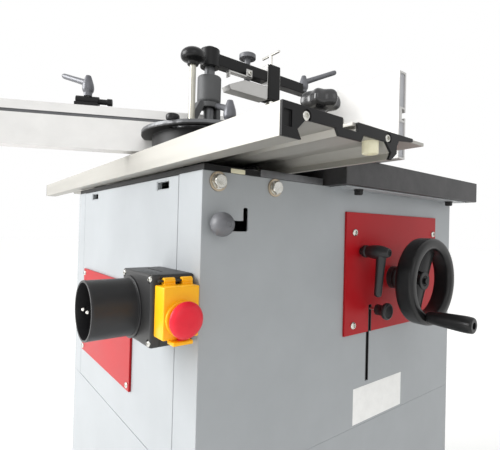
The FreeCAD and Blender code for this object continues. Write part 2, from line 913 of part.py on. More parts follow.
def sliding_table():
    slot = [
        ("slot_place + slot_mouth / 2", "slide_height"),
        ("slot_place + slot_mouth / 2", "slide_height - slot_lip"),
        ("slot_place + slot_inner / 2", "slide_height - slot_lip"),
        ("slot_place + slot_inner / 2", "slide_height - slot_depth"),
        ("slot_place - slot_inner / 2", "slide_height - slot_depth"),
        ("slot_place - slot_inner / 2", "slide_height - slot_lip"),
        ("slot_place - slot_mouth / 2", "slide_height - slot_lip"),
        ("slot_place - slot_mouth / 2", "slide_height")]
    lip = [("lip_start", "lip_under"), ("slide_width", "lip_under"), ("slide_width", "slide_height")]
    table = padded("YZ_Plane", "slide_length - 2 * cap_thickness", slide_outline(lip, slot))
    left = f"{RIGHT} + slide_reach - slide_length"
    piece("sliding_table", put(table, f"{left} + cap_thickness", SLIDE_Y, SLIDE_Z))
    notch = [
        ("slot_place + slot_inner / 2", "slide_height"),
        ("slot_place + slot_inner / 2", "slide_height - slot_depth"),
        ("slot_place - slot_inner / 2", "slide_height - slot_depth"),
        ("slot_place - slot_inner / 2", "slide_height")]
    tip = [("lip_start", "lip_under"), ("lip_start", "slide_height")]
    caps = []
    for x in (left, f"{RIGHT} + slide_reach - cap_thickness"):
        caps.append(put(padded("YZ_Plane", "cap_thickness", slide_outline(tip, notch)), x, SLIDE_Y, SLIDE_Z))
    piece("table_end_caps", group(*caps))
    bumpers = []
    for x in (f"{left} + bumper_inset", f"{RIGHT} + slide_reach - bumper_inset"):
        bumpers.append(rod(
            "bumper_radius", "bumper_height", x, f"{SLIDE_Y} + bumper_place",
            f"{SLIDE_Z} + deck_under - bumper_height"))
    piece("table_bumpers", group(*bumpers))


def star_knob():
    parts = []
    for number in range(int(size("star_lobe_count"))):
        turn = f"360 * {number} / star_lobe_count"
        parts.append(rod(
            "star_lobe_radius", "star_height", f"star_lobe_circle * cos({turn})",
            f"star_lobe_circle * sin({turn})", "star_stem_height"))
    parts.append(rod("star_hub_radius", "star_height", z="star_stem_height"))
    parts.append(rod("star_stem_radius", "star_stem_height + slot_depth / 2", z="-slot_depth / 2"))
    parts.append(rod("star_foot_radius", "star_foot_height"))
    knob = put(join(*parts), f"{RIGHT} + star_from_right", PIVOT_Y, f"{SLIDE_Z} + slide_height + near_gap")
    piece("star_knob", knob)


# Mitre head, beam and stop, in a frame that lies along the beam

def mitre_spot(along, across):
    """Formulas for a place given along and across the mitre beam."""
    x = f"{PIVOT_X} + ({along}) * cos(mitre_angle) - ({across}) * sin(mitre_angle)"
    y = f"{PIVOT_Y} + ({along}) * sin(mitre_angle) + ({across}) * cos(mitre_angle)"
    return x, y


def head_disc(radius, height, z):
    """A disc with its side cut straight where the beam lies against it."""
    half = f"sqrt({radius} * {radius} - beam_offset * beam_offset)"
    outline = [(f"-{half}", "beam_offset"), ("0", f"-{radius}", radius, 1), (half, "beam_offset", radius, 1)]
    return put(padded("XY_Plane", height, outline), z=z)


def mitre_head():
    skirt = head_disc("head_skirt_radius", "head_skirt_height", "0")
    plate = head_disc("head_radius", "head_plate", "head_skirt_height")
    stud = rod("pivot_stud_radius", "pivot_stud_depth", z="-pivot_stud_depth")
    outer = "head_slot_radius + head_slot_width / 2"
    inner = "head_slot_radius - head_slot_width / 2"
    high = "sin(90 * head_slot_share)"
    wide = "cos(90 * head_slot_share)"
    slot = padded("XY_Plane", "head_plate + overrun", [
        (f"-({outer}) * {wide}", f"-({outer}) * {high}"),
        (f"({outer}) * {wide}", f"-({outer}) * {high}", outer, 1),
        (f"({inner}) * {wide}", f"-({inner}) * {high}"),
        (f"-({inner}) * {wide}", f"-({inner}) * {high}", inner, -1)])
    put(slot, z="head_skirt_height")
    head = cut(join(skirt, plate, stud), slot)
    piece("mitre_head", swing(
        head, "mitre_angle", PIVOT_X, PIVOT_Y, f"{SLIDE_Z} + slide_height + near_gap"))


def mitre_beam():
    slot_wall = "(beam_slot_depth + beam_wall)"
    groove_top = "beam_height - beam_groove_drop + beam_groove_height / 2"
    middle = "beam_thickness / 2"
    outside = [
        ("0", "0"), ("beam_thickness", "0"), ("beam_thickness", "beam_height"),
        (f"{middle} + beam_slot_mouth / 2", "beam_height"),
        (f"{middle} + beam_slot_mouth / 2", "beam_height - beam_slot_lip"),
        (f"{middle} + beam_slot_inner / 2", "beam_height - beam_slot_lip"),
        (f"{middle} + beam_slot_inner / 2", "beam_height - beam_slot_depth"),
        (f"{middle} - beam_slot_inner / 2", "beam_height - beam_slot_depth"),
        (f"{middle} - beam_slot_inner / 2", "beam_height - beam_slot_lip"),
        (f"{middle} - beam_slot_mouth / 2", "beam_height - beam_slot_lip"),
        (f"{middle} - beam_slot_mouth / 2", "beam_height"), ("0", "beam_height"),
        ("0", groove_top), ("beam_groove_depth", groove_top),
        ("beam_groove_depth", f"{groove_top} - beam_groove_height"),
        ("0", f"{groove_top} - beam_groove_height")]
    hollow = rectangle(
        "beam_wall + beam_groove_depth", "beam_wall", "beam_thickness - beam_wall",
        f"beam_height - {slot_wall}")
    beam = padded("YZ_Plane", "beam_out + beam_in", outside, hollow)
    x, y = mitre_spot("-beam_out", "beam_offset")
    piece("mitre_beam", swing(beam, "mitre_angle", x, y, f"{SLIDE_Z} + slide_height + beam_lift"))


def flip_stop():
    middle = "stop_base + stop_radius - stop_sink"
    base = block("stop_length", "beam_thickness", "stop_base", "0", "-beam_thickness / 2", "0")
    key = block(
        "stop_length", "stop_key_width", "stop_key_depth", "0", "-stop_key_width / 2", "-stop_key_depth")
    barrel = rod("stop_radius", "stop_length", z=middle, along="x")
    tip = rod("stop_tip_radius", "stop_length + stop_tip_length", z=middle, along="x")
    pad = rod("stop_pad_radius", "stop_pad_length", "stop_length + stop_tip_length", "0", middle, along="x")
    hole = rod(
        "lever_stud_radius + run_fit", "stop_stud_depth + overrun", "stop_length / 2", "0",
        f"{middle} + stop_radius - stop_stud_depth")
    stop = cut(join(base, key, barrel, tip, pad), hole)
    x, y = mitre_spot("-stop_place", "beam_offset + beam_thickness / 2")
    piece("flip_stop", swing(
        stop, "mitre_angle", x, y, f"{SLIDE_Z} + slide_height + beam_lift + beam_height"))


def clamping_lever(label, angle, x, y, z, stud):
    """A lever whose bullet hub stands on +Z, with a stud below and an arm that rises to one side."""
    hub = turned([
        ("0", "0"), ("lever_neck_radius", "0"), ("lever_hub_radius", "lever_nose"),
        ("lever_neck_radius", "lever_hub_height"), ("0", "lever_hub_height")])
    arm_base = "lever_hub_height - lever_arm_radius - 1 * lever_nose / 3"
    arm = taper("lever_arm_radius", "lever_ball_radius * 2 / 3", "lever_arm_length", z=arm_base, along="x")
    arm.setExpression(".Placement.Rotation.Angle", tied("90 - lever_arm_angle"))
    knob = ball(
        "lever_ball_radius", "lever_arm_length * cos(lever_arm_angle)", "0",
        f"{arm_base} + lever_arm_length * sin(lever_arm_angle)")
    screw = rod("lever_stud_radius", f"{stud} + near_gap", z=f"-({stud})")
    lever = join(hub, arm, knob, screw)
    piece(label, swing(lever, angle, x, y, f"{z} + near_gap"))


def mitre_levers():
    x, y = mitre_spot("lock_place_along", "-lock_place_across")
    clamping_lever("mitre_lock_lever", "mitre_angle + 100", x, y, HEAD_TOP, stud="head_plate")
    x, y = mitre_spot("stop_length / 2 - stop_place", "beam_offset + beam_thickness / 2")
    top = f"{SLIDE_Z} + slide_height + beam_lift + beam_height + stop_base + 2 * stop_radius - stop_sink"
    clamping_lever("flip_stop_lever", "mitre_angle + 140", x, y, top, stud="stop_stud_depth")


def mitre_knob():
    """The tall rod with a domed knob that clamps the mitre head."""
    top = "tall_rod_height + tall_knob_height"
    knob = turned([
        ("0", "0"), ("tall_rod_radius", "0"), ("tall_rod_radius", "tall_rod_height"),
        ("tall_knob_radius", "tall_rod_height"),
        ("tall_knob_radius", f"{top} - tall_knob_dome"),
        ("tall_knob_radius - tall_knob_dome", top, "tall_knob_dome", 1), ("0", top)])
    x, y = mitre_spot("-tall_along", "-tall_across")
    piece("mitre_knob", put(knob, x, y, f"{HEAD_TOP} + near_gap"))


# Work clamp, in a frame whose X lies along the arm

def on_clamp(thing, z):
    return swing(thing, "90", PIVOT_X, PIVOT_Y, z)


def clamp_foot():
    arch = padded("XZ_Plane", "foot_width", [
        ("-foot_reach", "0"), ("foot_back", "0"), ("foot_back", "foot_rise"),
        ("foot_slope - foot_reach", "foot_rise")], [
        ("foot_wall * 2 - foot_reach", "foot_wall"), ("foot_back - foot_wall", "foot_wall"),
        ("foot_back - foot_wall", "foot_rise - foot_wall"),
        ("foot_slope + foot_wall - foot_reach", "foot_rise - foot_wall")], middle=True)
    boss = rod("boss_radius", "boss_height + foot_wall", z="foot_rise - foot_wall")
    bore = rod(
        "column_radius + run_fit", "boss_height + foot_wall + 2 * overrun",
        z="foot_rise - foot_wall - overrun")
    piece("clamp_foot", on_clamp(cut(join(arch, boss), bore), HEAD_TOP))


def clamp_arm():
    column = rod("column_radius", "arm_rise + arm_thickness * 3 / 2 - column_start")
    piece("clamp_column", on_clamp(column, f"{HEAD_TOP} + column_start"))
    half = "arm_thickness / 2"
    bar = block("arm_reach", "arm_thickness", "arm_thickness", "0", f"-{half}", "arm_rise")
    tongue = block(
        "arm_tongue", "arm_thickness", "arm_tongue_thickness", "arm_reach", f"-{half}", "arm_rise")
    sleeve = rod(
        "arm_sleeve_radius", "arm_sleeve_height",
        z=f"arm_rise + {half} - arm_sleeve_height / 2")
    bore = rod("column_radius + run_fit", "arm_sleeve_height + 2 * overrun",
               z=f"arm_rise + {half} - arm_sleeve_height / 2 - overrun")
    screw_hole = rod(
        "screw_radius + run_fit", "arm_thickness + 2 * overrun",
        "block_place + block_length / 2", "0", "arm_rise - overrun")
    pin_hole = rod(
        "pin_radius + run_fit", "arm_thickness + 2 * overrun", "pin_place", "0", "arm_rise - overrun")
    stud_hole = rod(
        "lever_stud_radius + run_fit", "arm_tongue_thickness + 2 * overrun",
        "arm_reach + arm_tongue / 2", "0", "arm_rise - overrun")
    arm = cut(join(bar, tongue, sleeve), bore, screw_hole, pin_hole, stud_hole)
    piece("clamp_arm", on_clamp(arm, HEAD_TOP))


def clamp_block():
    bottom = "arm_rise - block_under"
    height = "block_under + arm_thickness + block_over"
    body = block("block_length", "block_width", height, "block_place", "-block_width / 2", bottom)
    soft = rounded(body, "block_round", runs_along(Vector(0, 0, 1)))
    passage = block(
        "block_length + 2 * overrun", "arm_thickness + 2 * run_fit", "arm_thickness + 2 * run_fit",
        "block_place - overrun", "-arm_thickness / 2 - run_fit", "arm_rise - run_fit")
    thread = rod(
        "screw_radius + run_fit", f"{height} + 2 * overrun",
        "block_place + block_length / 2", "0", f"{bottom} - overrun")
    piece("clamp_block", on_clamp(cut(soft, passage, thread), HEAD_TOP))


def pressure_shoe():
    low = "arm_rise - shoe_under - near_gap"
    shoe = padded("XZ_Plane", "shoe_width", [
        ("shoe_start + shoe_toe / 2", low), ("shoe_end", low), ("shoe_end", f"{low} + shoe_height"),
        ("shoe_start + shoe_rake", f"{low} + shoe_height"),
        ("shoe_start", f"{low} + shoe_toe")], middle=True)
    pin = rod(
        "pin_radius", "shoe_under - shoe_height + arm_thickness + pin_over + 2 * near_gap",
        "pin_place", "0", f"{low} + shoe_height - near_gap")
    head = rod("pin_head_radius", "pin_head_height", "pin_place", "0", "arm_rise + arm_thickness + pin_over")
    dome = taper(
        "pin_head_radius", "pin_head_radius / 2", "pin_head_height / 2",
        "pin_place", "0", "arm_rise + arm_thickness + pin_over + pin_head_height")
    piece("pressure_shoe", on_clamp(join(shoe, pin, head, dome), HEAD_TOP))


def clamp_screw():
    """T-handle screw through the block and the arm, with a pad at its foot."""
    x = "block_place + block_length / 2"
    bottom = "arm_rise - block_under - shoe_toe"
    screw = rod("screw_radius", f"arm_thickness + screw_over + block_under + shoe_toe", x, "0", bottom)
    pad = rod("block_width / 3", "shoe_toe - near_gap", x, "0", bottom)
    bar = rod(
        "screw_bar_radius", "screw_bar_length", x, "-screw_bar_length / 2",
        "arm_rise + arm_thickness + screw_over", along="y")
    piece("clamp_screw", on_clamp(join(screw, pad, bar), HEAD_TOP))


def clamp_lever():
    z = f"{HEAD_TOP} + arm_rise + arm_tongue_thickness"
    y = f"{PIVOT_Y} + arm_reach + arm_tongue / 2"
    clamping_lever("clamp_lever", "clamp_lever_angle", PIVOT_X, y, z, stud="arm_tongue_thickness")


# Switch box with inlet, lid and buttons

BOX_RIGHT = f"{RIGHT} - box_from_right"
LID_Y = f"{FRONT} - lid_from_face - lid_width / 2"
HINGE_X = f"{BOX_RIGHT} + hinge_out"
HINGE_Z = "stand_height + lid_bottom + lid_height + hinge_rise"


def switch_box():
    housing = block(
        "box_width", "box_depth", "box_height", f"{BOX_RIGHT} - box_width",
        f"{FRONT} - box_depth", "stand_height + box_bottom")
    soft = rounded(housing, "box_round", runs_along(Vector(0, 1, 0)))
    pin = rod(
        "hinge_pin_radius", "lid_width - 2 * hinge_pin_radius", HINGE_X,
        f"{LID_Y} - lid_width / 2 + hinge_pin_radius", HINGE_Z, along="y")
    lug = block(
        "hinge_out + hinge_pin_radius", "lid_width - 2 * ear_length - 6 * hinge_pin_radius",
        "2 * hinge_pin_radius", BOX_RIGHT, f"{LID_Y} - lid_width / 2 + ear_length + 3 * hinge_pin_radius",
        f"{HINGE_Z} - hinge_pin_radius")
    well = rod(
        "button_radius + run_fit", "button_inside + button_travel + near_gap + overrun",
        f"{BOX_RIGHT} - button_inside - button_travel - near_gap", LID_Y, "stand_height + button_rise",
        along="x")
    piece("switch_box", cut(join(soft, pin, lug), well))


def mains_inlet():
    x = f"{RIGHT} - collar_from_right"
    z = "stand_height + collar_rise"
    face = f"{FRONT} - box_depth"
    wall = rod("collar_radius", "collar_length", x, face, z, along="-y")
    inside = rod(
        "collar_radius - collar_wall", "collar_length - collar_floor + overrun",
        x, f"{face} - collar_floor", z, along="-y")
    piece("inlet_collar", cut(wall, inside))
    pins = []
    for side in ("-1", "1"):
        pins.append(rod(
            "inlet_pin_radius", "inlet_pin_length", f"{x} + {side} * inlet_pin_spacing / 2",
            f"{face} - collar_floor", z, along="-y"))
    piece("inlet_pins", group(*pins))


def emergency_lid():
    z = "stand_height + lid_bottom"
    corner = f"{LID_Y} - lid_width / 2"
    cover = block("lid_depth - lid_gap", "lid_width", "lid_height", f"{BOX_RIGHT} + lid_gap", corner, z)
    hollow = block(
        "lid_depth - lid_wall - lid_gap + overrun", "lid_width - 2 * lid_wall", "lid_height - 2 * lid_wall",
        f"{BOX_RIGHT} + lid_gap - overrun", f"{corner} + lid_wall", f"{z} + lid_wall")
    ears = []
    for place in (corner, f"{corner} + lid_width - ear_length"):
        barrel = rod("hinge_radius", "ear_length", HINGE_X, place, HINGE_Z, along="y")
        foot = block(
            "2 * hinge_radius", "ear_length", "hinge_rise + lid_wall", f"{HINGE_X} - hinge_radius", place,
            f"{z} + lid_height - lid_wall")
        ears.append(join(barrel, foot))
    bore = rod(
        "hinge_pin_radius + run_fit", "lid_width + 2 * overrun", HINGE_X, f"{corner} - overrun",
        HINGE_Z, along="y")
    stem_hole = rod(
        "mushroom_stem_radius + run_fit", "lid_wall + 2 * overrun",
        f"{BOX_RIGHT} + lid_depth - lid_wall - overrun", LID_Y, "stand_height + mushroom_rise", along="x")
    piece("emergency_lid", cut(join(cut(cover, hollow), *ears), bore, stem_hole))


def buttons():
    stem = "lid_wall + mushroom_gap + mushroom_stem_inside"
    top = f"{stem} + mushroom_height"
    mushroom = turned([
        ("0", "0"), ("mushroom_stem_radius", "0"), ("mushroom_stem_radius", stem),
        ("mushroom_radius", stem), ("mushroom_radius", f"{stem} + mushroom_edge"),
        ("mushroom_radius / 2", top, "2 * mushroom_radius - mushroom_stem_radius", 1), ("0", top)])
    inner = f"{BOX_RIGHT} + lid_depth - lid_wall - mushroom_stem_inside"
    piece("stop_mushroom", put(mushroom, inner, LID_Y, "stand_height + mushroom_rise", along="x"))
    piece("start_button", rod(
        "button_radius", "button_inside + button_out", f"{BOX_RIGHT} - button_inside",
        LID_Y, "stand_height + button_rise", along="x"))


# Spindle lift: handwheel, bevel gears, lead screw, guide columns

WHEEL_Y = f"wheel_from_front {FRONT}"
WHEEL_Z = "stand_height + wheel_rise"
SCREW_X = f"{RIGHT} - screw_axis_inset"


def handwheel():
    """A dished wheel: deep round rim, hub set back and sloping spokes."""
    rim_back = "wheel_front - rim_depth"
    hub_back = "plate_thickness + collar_height + wheel_gap"
    inner = "wheel_radius - rim_band"
    rim = turned([
        (f"{inner} + rim_round", rim_back, "rim_round", 1), ("wheel_radius - rim_round", rim_back),
        ("wheel_radius", f"{rim_back} + rim_round", "rim_round", 1),
        ("wheel_radius", "wheel_front - rim_round"),
        ("wheel_radius - rim_round", "wheel_front", "rim_round", 1),
        (f"{inner} + rim_round", "wheel_front"),
        (inner, "wheel_front - rim_round", "rim_round", 1),
        (inner, f"{rim_back} + rim_round")])
    hub = turned([
        ("shaft_radius + run_fit", hub_back), ("hub_radius", hub_back),
        ("hub_radius * 2 / 3", f"{hub_back} + hub_length"),
        ("shaft_radius + run_fit", f"{hub_back} + hub_length")])
    inside = f"{inner} + rim_round / 2"
    spoke = padded("XZ_Plane", "spoke_width", [
        ("hub_radius * 3 / 4", f"{hub_back} + hub_length / 4"),
        (inside, f"{rim_back} + rim_round"), (inside, f"{rim_back} + rim_round + spoke_thickness"),
        ("hub_radius * 3 / 4", f"{hub_back} + hub_length / 4 + spoke_thickness * 4 / 3")], middle=True)
    repeat(spoke, "spoke_count")
    swing(spoke, "handle_angle - 90")
    pin = rod(
        "handle_pin_radius + run_fit", "handle_pin_length", "-handle_circle * sin(handle_angle)",
        "handle_circle * cos(handle_angle)", "wheel_front - handle_pin_length")
    wheel = cut(join(rim, hub, spoke), pin)
    piece("handwheel", put(wheel, RIGHT, WHEEL_Y, WHEEL_Z, along="x"))


def handwheel_handle():
    handle = turned([
        ("0", "-handle_pin_length / 2"), ("handle_pin_radius", "-handle_pin_length / 2"),
        ("handle_pin_radius", "near_gap"), ("handle_root_radius", "near_gap"),
        ("handle_waist_radius", "handle_length / 3"), ("handle_end_radius", "handle_length * 5 / 6"),
        ("handle_end_radius * 2 / 3", "handle_length", "handle_end_radius", 1), ("0", "handle_length")])
    piece("handwheel_handle", put(
        handle, f"{RIGHT} + wheel_front", f"{WHEEL_Y} + handle_circle * cos(handle_angle)",
        f"{WHEEL_Z} + handle_circle * sin(handle_angle)", along="x"))


def bevel_gear(pitch_radius, apex_distance, teeth):
    """A straight bevel gear whose cone apex is at the origin and whose back is at -Z."""
    small = "(1 - gear_face_share)"
    lean = f"sqrt(1 + {pitch_radius} * {pitch_radius} / {apex_distance} / {apex_distance})"
    root = f"{pitch_radius} - tooth_in * {lean}"
    tip = f"{pitch_radius} + tooth_out * {lean}"
    gear = turned([
        ("0", f"-{apex_distance} - gear_blank"), (root, f"-{apex_distance} - gear_blank"),
        (root, f"-{apex_distance}"), (f"({root}) * {small}", f"-{apex_distance} * {small}"),
        ("0", f"-{apex_distance} * {small}")])
    half = f"{pitch_radius} * sin(180 / {teeth}) * 2 * tooth_width_share"
    sections = []
    for scale in ("1", small):
        drawing = sketch(gear, "XY_Plane", [
            (f"({root}) * 9 / 10 * {scale}", f"-{half} * {scale}"),
            (f"({tip}) * {scale}", f"-{half} * tooth_tip_share * {scale}"),
            (f"({tip}) * {scale}", f"{half} * tooth_tip_share * {scale}"),
            (f"({root}) * 9 / 10 * {scale}", f"{half} * {scale}")])
        drawing.setExpression(".AttachmentOffset.Base.z", tied(f"-{apex_distance} * {scale}"))
        sections.append(drawing)
    doc.recompute()
    tooth = gear.newObject("PartDesign::AdditiveLoft", "Tooth")
    tooth.Profile = sections[0]
    tooth.Sections = [sections[1]]
    tooth.Ruled = True
    gear.Tip = tooth
    doc.recompute()
    return repeat(gear, teeth)


BRACKET_RISE = "sheet_wall"


def lift_shaft_and_screw():
    pinion = put(bevel_gear("pinion_pitch_radius", "gear_pitch_radius", "pinion_tooth_count"), along="-x")
    shaft_start = "gear_pitch_radius"
    shaft = rod(
        "shaft_radius",
        f"screw_axis_inset + plate_thickness + collar_height + wheel_gap + hub_length - {shaft_start}",
        shaft_start, along="x")
    piece("handwheel_shaft", put(join(pinion, shaft), SCREW_X, WHEEL_Y, WHEEL_Z))
    gear = bevel_gear("gear_pitch_radius", "pinion_pitch_radius", "gear_tooth_count")
    gear_turn = swing(gear, "180 / gear_tooth_count")
    lead = rod(
        "lead_radius", f"wheel_rise - {BRACKET_RISE} - near_gap",
        z=f"{BRACKET_RISE} + near_gap - wheel_rise")
    piece("lead_screw", put(join(gear_turn, lead), SCREW_X, WHEEL_Y, WHEEL_Z))


def column_spots():
    return [(f"{side} * {COLUMN_X}", f"{SPINDLE_Y} + column_behind") for side in ("-1", "1")]


def guide_columns():
    bottom = f"stand_height + {BRACKET_RISE}"
    length = f"cabinet_height - {BRACKET_RISE}"
    columns = [rod("lift_column_radius", length, x, y, bottom) for x, y in column_spots()]
    piece("guide_columns", group(*columns))


def lift_bracket():
    """The tie plate under the columns, with the upright that carries the handwheel shaft."""
    bottom = f"stand_height + {BRACKET_RISE}"
    plate = block(
        "cabinet_width - rim_width", "bracket_width", "bracket_thickness",
        f"rim_width / 2 - {RIGHT}", f"{SPINDLE_Y} + column_behind - bracket_width / 2", bottom)
    upright = block(
        "upright_thickness", "upright_width", f"wheel_rise + upright_width / 2 - {BRACKET_RISE}",
        f"{RIGHT} - upright_inset - upright_thickness", f"{WHEEL_Y} - upright_width / 2", bottom)
    bores = [rod(
        "lift_column_radius + bearing_fit", "bracket_thickness + 2 * overrun",
        x, spot, f"{bottom} - overrun")
        for x, spot in column_spots()]
    bores.append(rod(
        "lead_radius + run_fit", "bracket_thickness + 2 * overrun", SCREW_X, WHEEL_Y, f"{bottom} - overrun"))
    bores.append(rod(
        "shaft_radius + run_fit", "upright_thickness + 2 * overrun",
        f"{RIGHT} - upright_inset - upright_thickness - overrun", WHEEL_Y, WHEEL_Z, along="x"))
    piece("lift_bracket", cut(join(plate, upright), *bores))


# Hand controls on the right side

def height_lock_lever():
    """A hub on the control plate with an arm that hangs from it."""
    outer = "plate_thickness + near_gap"
    hub = rod("height_hub_radius", "height_hub_length", outer, along="x")
    stud = rod("height_stud_radius", f"{outer} + sheet_wall + overrun", "-sheet_wall - overrun", along="x")
    nut = rod("height_hub_radius", "overrun", "-sheet_wall - near_gap - overrun", along="x")
    reach = f"{outer} + height_hub_length * 2 / 3"
    arm = taper("height_arm_radius", "height_arm_tip_radius", "height_arm_length", reach, along="-z")
    tip = ball("height_arm_tip_radius", reach, "0", "-height_arm_length")
    lever = join(hub, stud, nut, arm, tip)
    piece("height_lock_lever", put(
        lever, RIGHT, f"height_lock_from_front {FRONT}", "stand_height + height_lock_rise"))


def spindle_lock_pin():
    """A thin pin that reaches the spindle, with a flared pull knob on its outer end."""
    start = f"{RIGHT} + plate_thickness + pull_stem_gap"
    flare = f"{start} + pull_stem_length"
    disc = f"{flare} + pull_flare"
    lock = turned([
        ("0", "lock_pin_start"), ("lock_pin_radius", "lock_pin_start"), ("lock_pin_radius", start),
        ("pull_stem_radius", start), ("pull_stem_radius", flare), ("pull_knob_radius", disc),
        ("pull_knob_radius", f"{disc} + pull_knob_length"), ("0", f"{disc} + pull_knob_length")])
    piece("spindle_lock_pin", put(lock, "0", SPINDLE_Y, "stand_height + pin_rise", along="x"))


def ball_knob():
    stem = rod(
        "ball_stem_radius", "sheet_wall + near_gap + ball_disc_thickness + ball_out",
        "-sheet_wall - near_gap - ball_disc_thickness", along="x")
    disc = rod(
        "ball_disc_radius", "ball_disc_thickness",
        "-sheet_wall - near_gap - ball_disc_thickness", along="x")
    grip = ball("ball_radius", "ball_out")
    piece("ball_knob", put(
        join(stem, disc, grip), RIGHT, f"knob_from_front {FRONT}", "stand_height + knob_rise"))


# Spindle group

def spindle_at(thing, rise="0"):
    return put(thing, "0", SPINDLE_Y, f"stand_height + {rise}")


def spindle_housing():
    tube = cut(
        rod("housing_radius", "housing_height"),
        rod("bearing_radius + bearing_fit", "housing_height + 2 * overrun", z="-overrun"),
        rod("lock_pin_radius + run_fit", "2 * housing_radius", z="pin_rise - housing_bottom", along="x"))
    piece("spindle_housing", spindle_at(tube, "housing_bottom"))
    bearings = []
    for rise in ("bearing_inset", "housing_height - bearing_inset - bearing_width"):
        race = turned(rectangle("journal_radius + run_fit", "0", "bearing_radius", "bearing_width"))
        bearings.append(spindle_at(race, f"housing_bottom + {rise}"))
    piece("spindle_bearings", group(*bearings))


def spindle():
    deck = "(cabinet_height + table_thickness)"
    flange_top = f"{deck} - flange_under"
    shaft = turned([
        ("0", "spindle_bottom"), ("journal_radius", "spindle_bottom"),
        ("journal_radius", f"{flange_top} - collar_flange"),
        ("collar_flange_radius", f"{flange_top} - collar_flange"), ("collar_flange_radius", flange_top),
        ("arbor_radius", flange_top), ("arbor_radius", f"{deck} + arbor_over"),
        ("0", f"{deck} + arbor_over")])
    inner = "(journal_radius - lock_hole_depth)"
    starts = {"x": (inner, "0"), "y": ("0", inner), "-x": (f"-{inner}", "0"), "-y": ("0", f"-{inner}")}
    holes = [
        rod("lock_hole_radius", "lock_hole_depth + overrun", x, y, "pin_rise", along=way)
        for way, (x, y) in starts.items()]
    piece("spindle", spindle_at(cut(shaft, *holes)))
    rings = []
    for number in range(int(size("spacer_count"))):
        ring = turned(rectangle("arbor_radius + spacer_fit", "0", "spacer_radius", "spacer_height"))
        rings.append(spindle_at(ring, f"{flange_top} + {number} * spacer_height"))
    piece("spacer_rings", group(*rings))
    nut = cut(
        hexagon("nut_across", "nut_height"),
        rod("arbor_radius + spacer_fit", "nut_height + 2 * overrun", z="-overrun"))
    piece("spindle_nut", spindle_at(nut, f"{flange_top} + spacer_count * spacer_height"))


def pulley(radius, bore):
    """A flat-belt pulley with a flange at each end."""
    belt_half = "belt_width / 2 + belt_gap"
    middle = "pulley_height / 2"
    rim = f"{radius} + belt_thickness"
    return turned([
        (bore, "0"), (rim, "0"), (rim, "pulley_flange"), (radius, f"{middle} - ({belt_half})"),
        (radius, f"{middle} + {belt_half}"), (rim, "pulley_height - pulley_flange"),
        (rim, "pulley_height"), (bore, "pulley_height")])


def drive():
    piece("spindle_pulley", spindle_at(
        pulley("spindle_pulley_radius", "journal_radius + bearing_fit"), "pulley_bottom"))
    shaft_top = "carriage_bottom + motor_base + motor_socket - pulley_bottom"
    rotor = join(
        pulley("motor_pulley_radius", "motor_shaft_radius / 2"), rod("motor_shaft_radius", shaft_top))
    piece("motor_pulley", put(
        rotor, "0", f"{SPINDLE_Y} + motor_behind", "stand_height + pulley_bottom"))
    loops = []
    for offset in ("belt_gap", "belt_gap + belt_thickness"):
        near = f"(spindle_pulley_radius + {offset})"
        far = f"(motor_pulley_radius + {offset})"
        lean = f"(({far} - {near}) / motor_behind)"
        rise = f"sqrt(1 - {lean} * {lean})"
        loops.append([
            (f"{near} * {rise}", f"-{near} * {lean}", near, 1),
            (f"{far} * {rise}", f"motor_behind - {far} * {lean}"),
            ("0", f"motor_behind + {far}", far, 1),
            (f"-{far} * {rise}", f"motor_behind - {far} * {lean}", far, 1),
            (f"-{near} * {rise}", f"-{near} * {lean}"),
            ("0", f"-{near}", near, 1)])
    belt = padded("XY_Plane", "belt_width", *loops)
    piece("drive_belt", spindle_at(belt, "pulley_bottom + pulley_height / 2 - belt_width / 2"))


def motor():
    """A ribbed motor that stands on the carriage with its shaft down."""
    barrel = "motor_radius - fin_height"
    top = "motor_height - fan_cover"
    stator = turned([
        ("motor_shaft_radius + run_fit", "0"), ("motor_radius", "0"), ("motor_radius", "motor_base"),
        (barrel, "motor_base"), (barrel, top), ("motor_radius", top),
        ("motor_radius", "motor_height - fin_height"), (barrel, "motor_height"), ("0", "motor_height"),
        ("0", "motor_socket + overrun"), ("motor_shaft_radius + run_fit", "motor_socket + overrun")])
    fin = padded("XY_Plane", f"{top} - motor_base", rectangle(
        f"{barrel} - overrun", "-fin_thickness / 2", "motor_radius", "fin_thickness / 2"))
    repeat(fin, "motor_fin_count")
    put(fin, z="motor_base")
    piece("motor", put(
        join(stator, fin), "0", f"{SPINDLE_Y} + motor_behind",
        "stand_height + carriage_bottom + motor_base"))


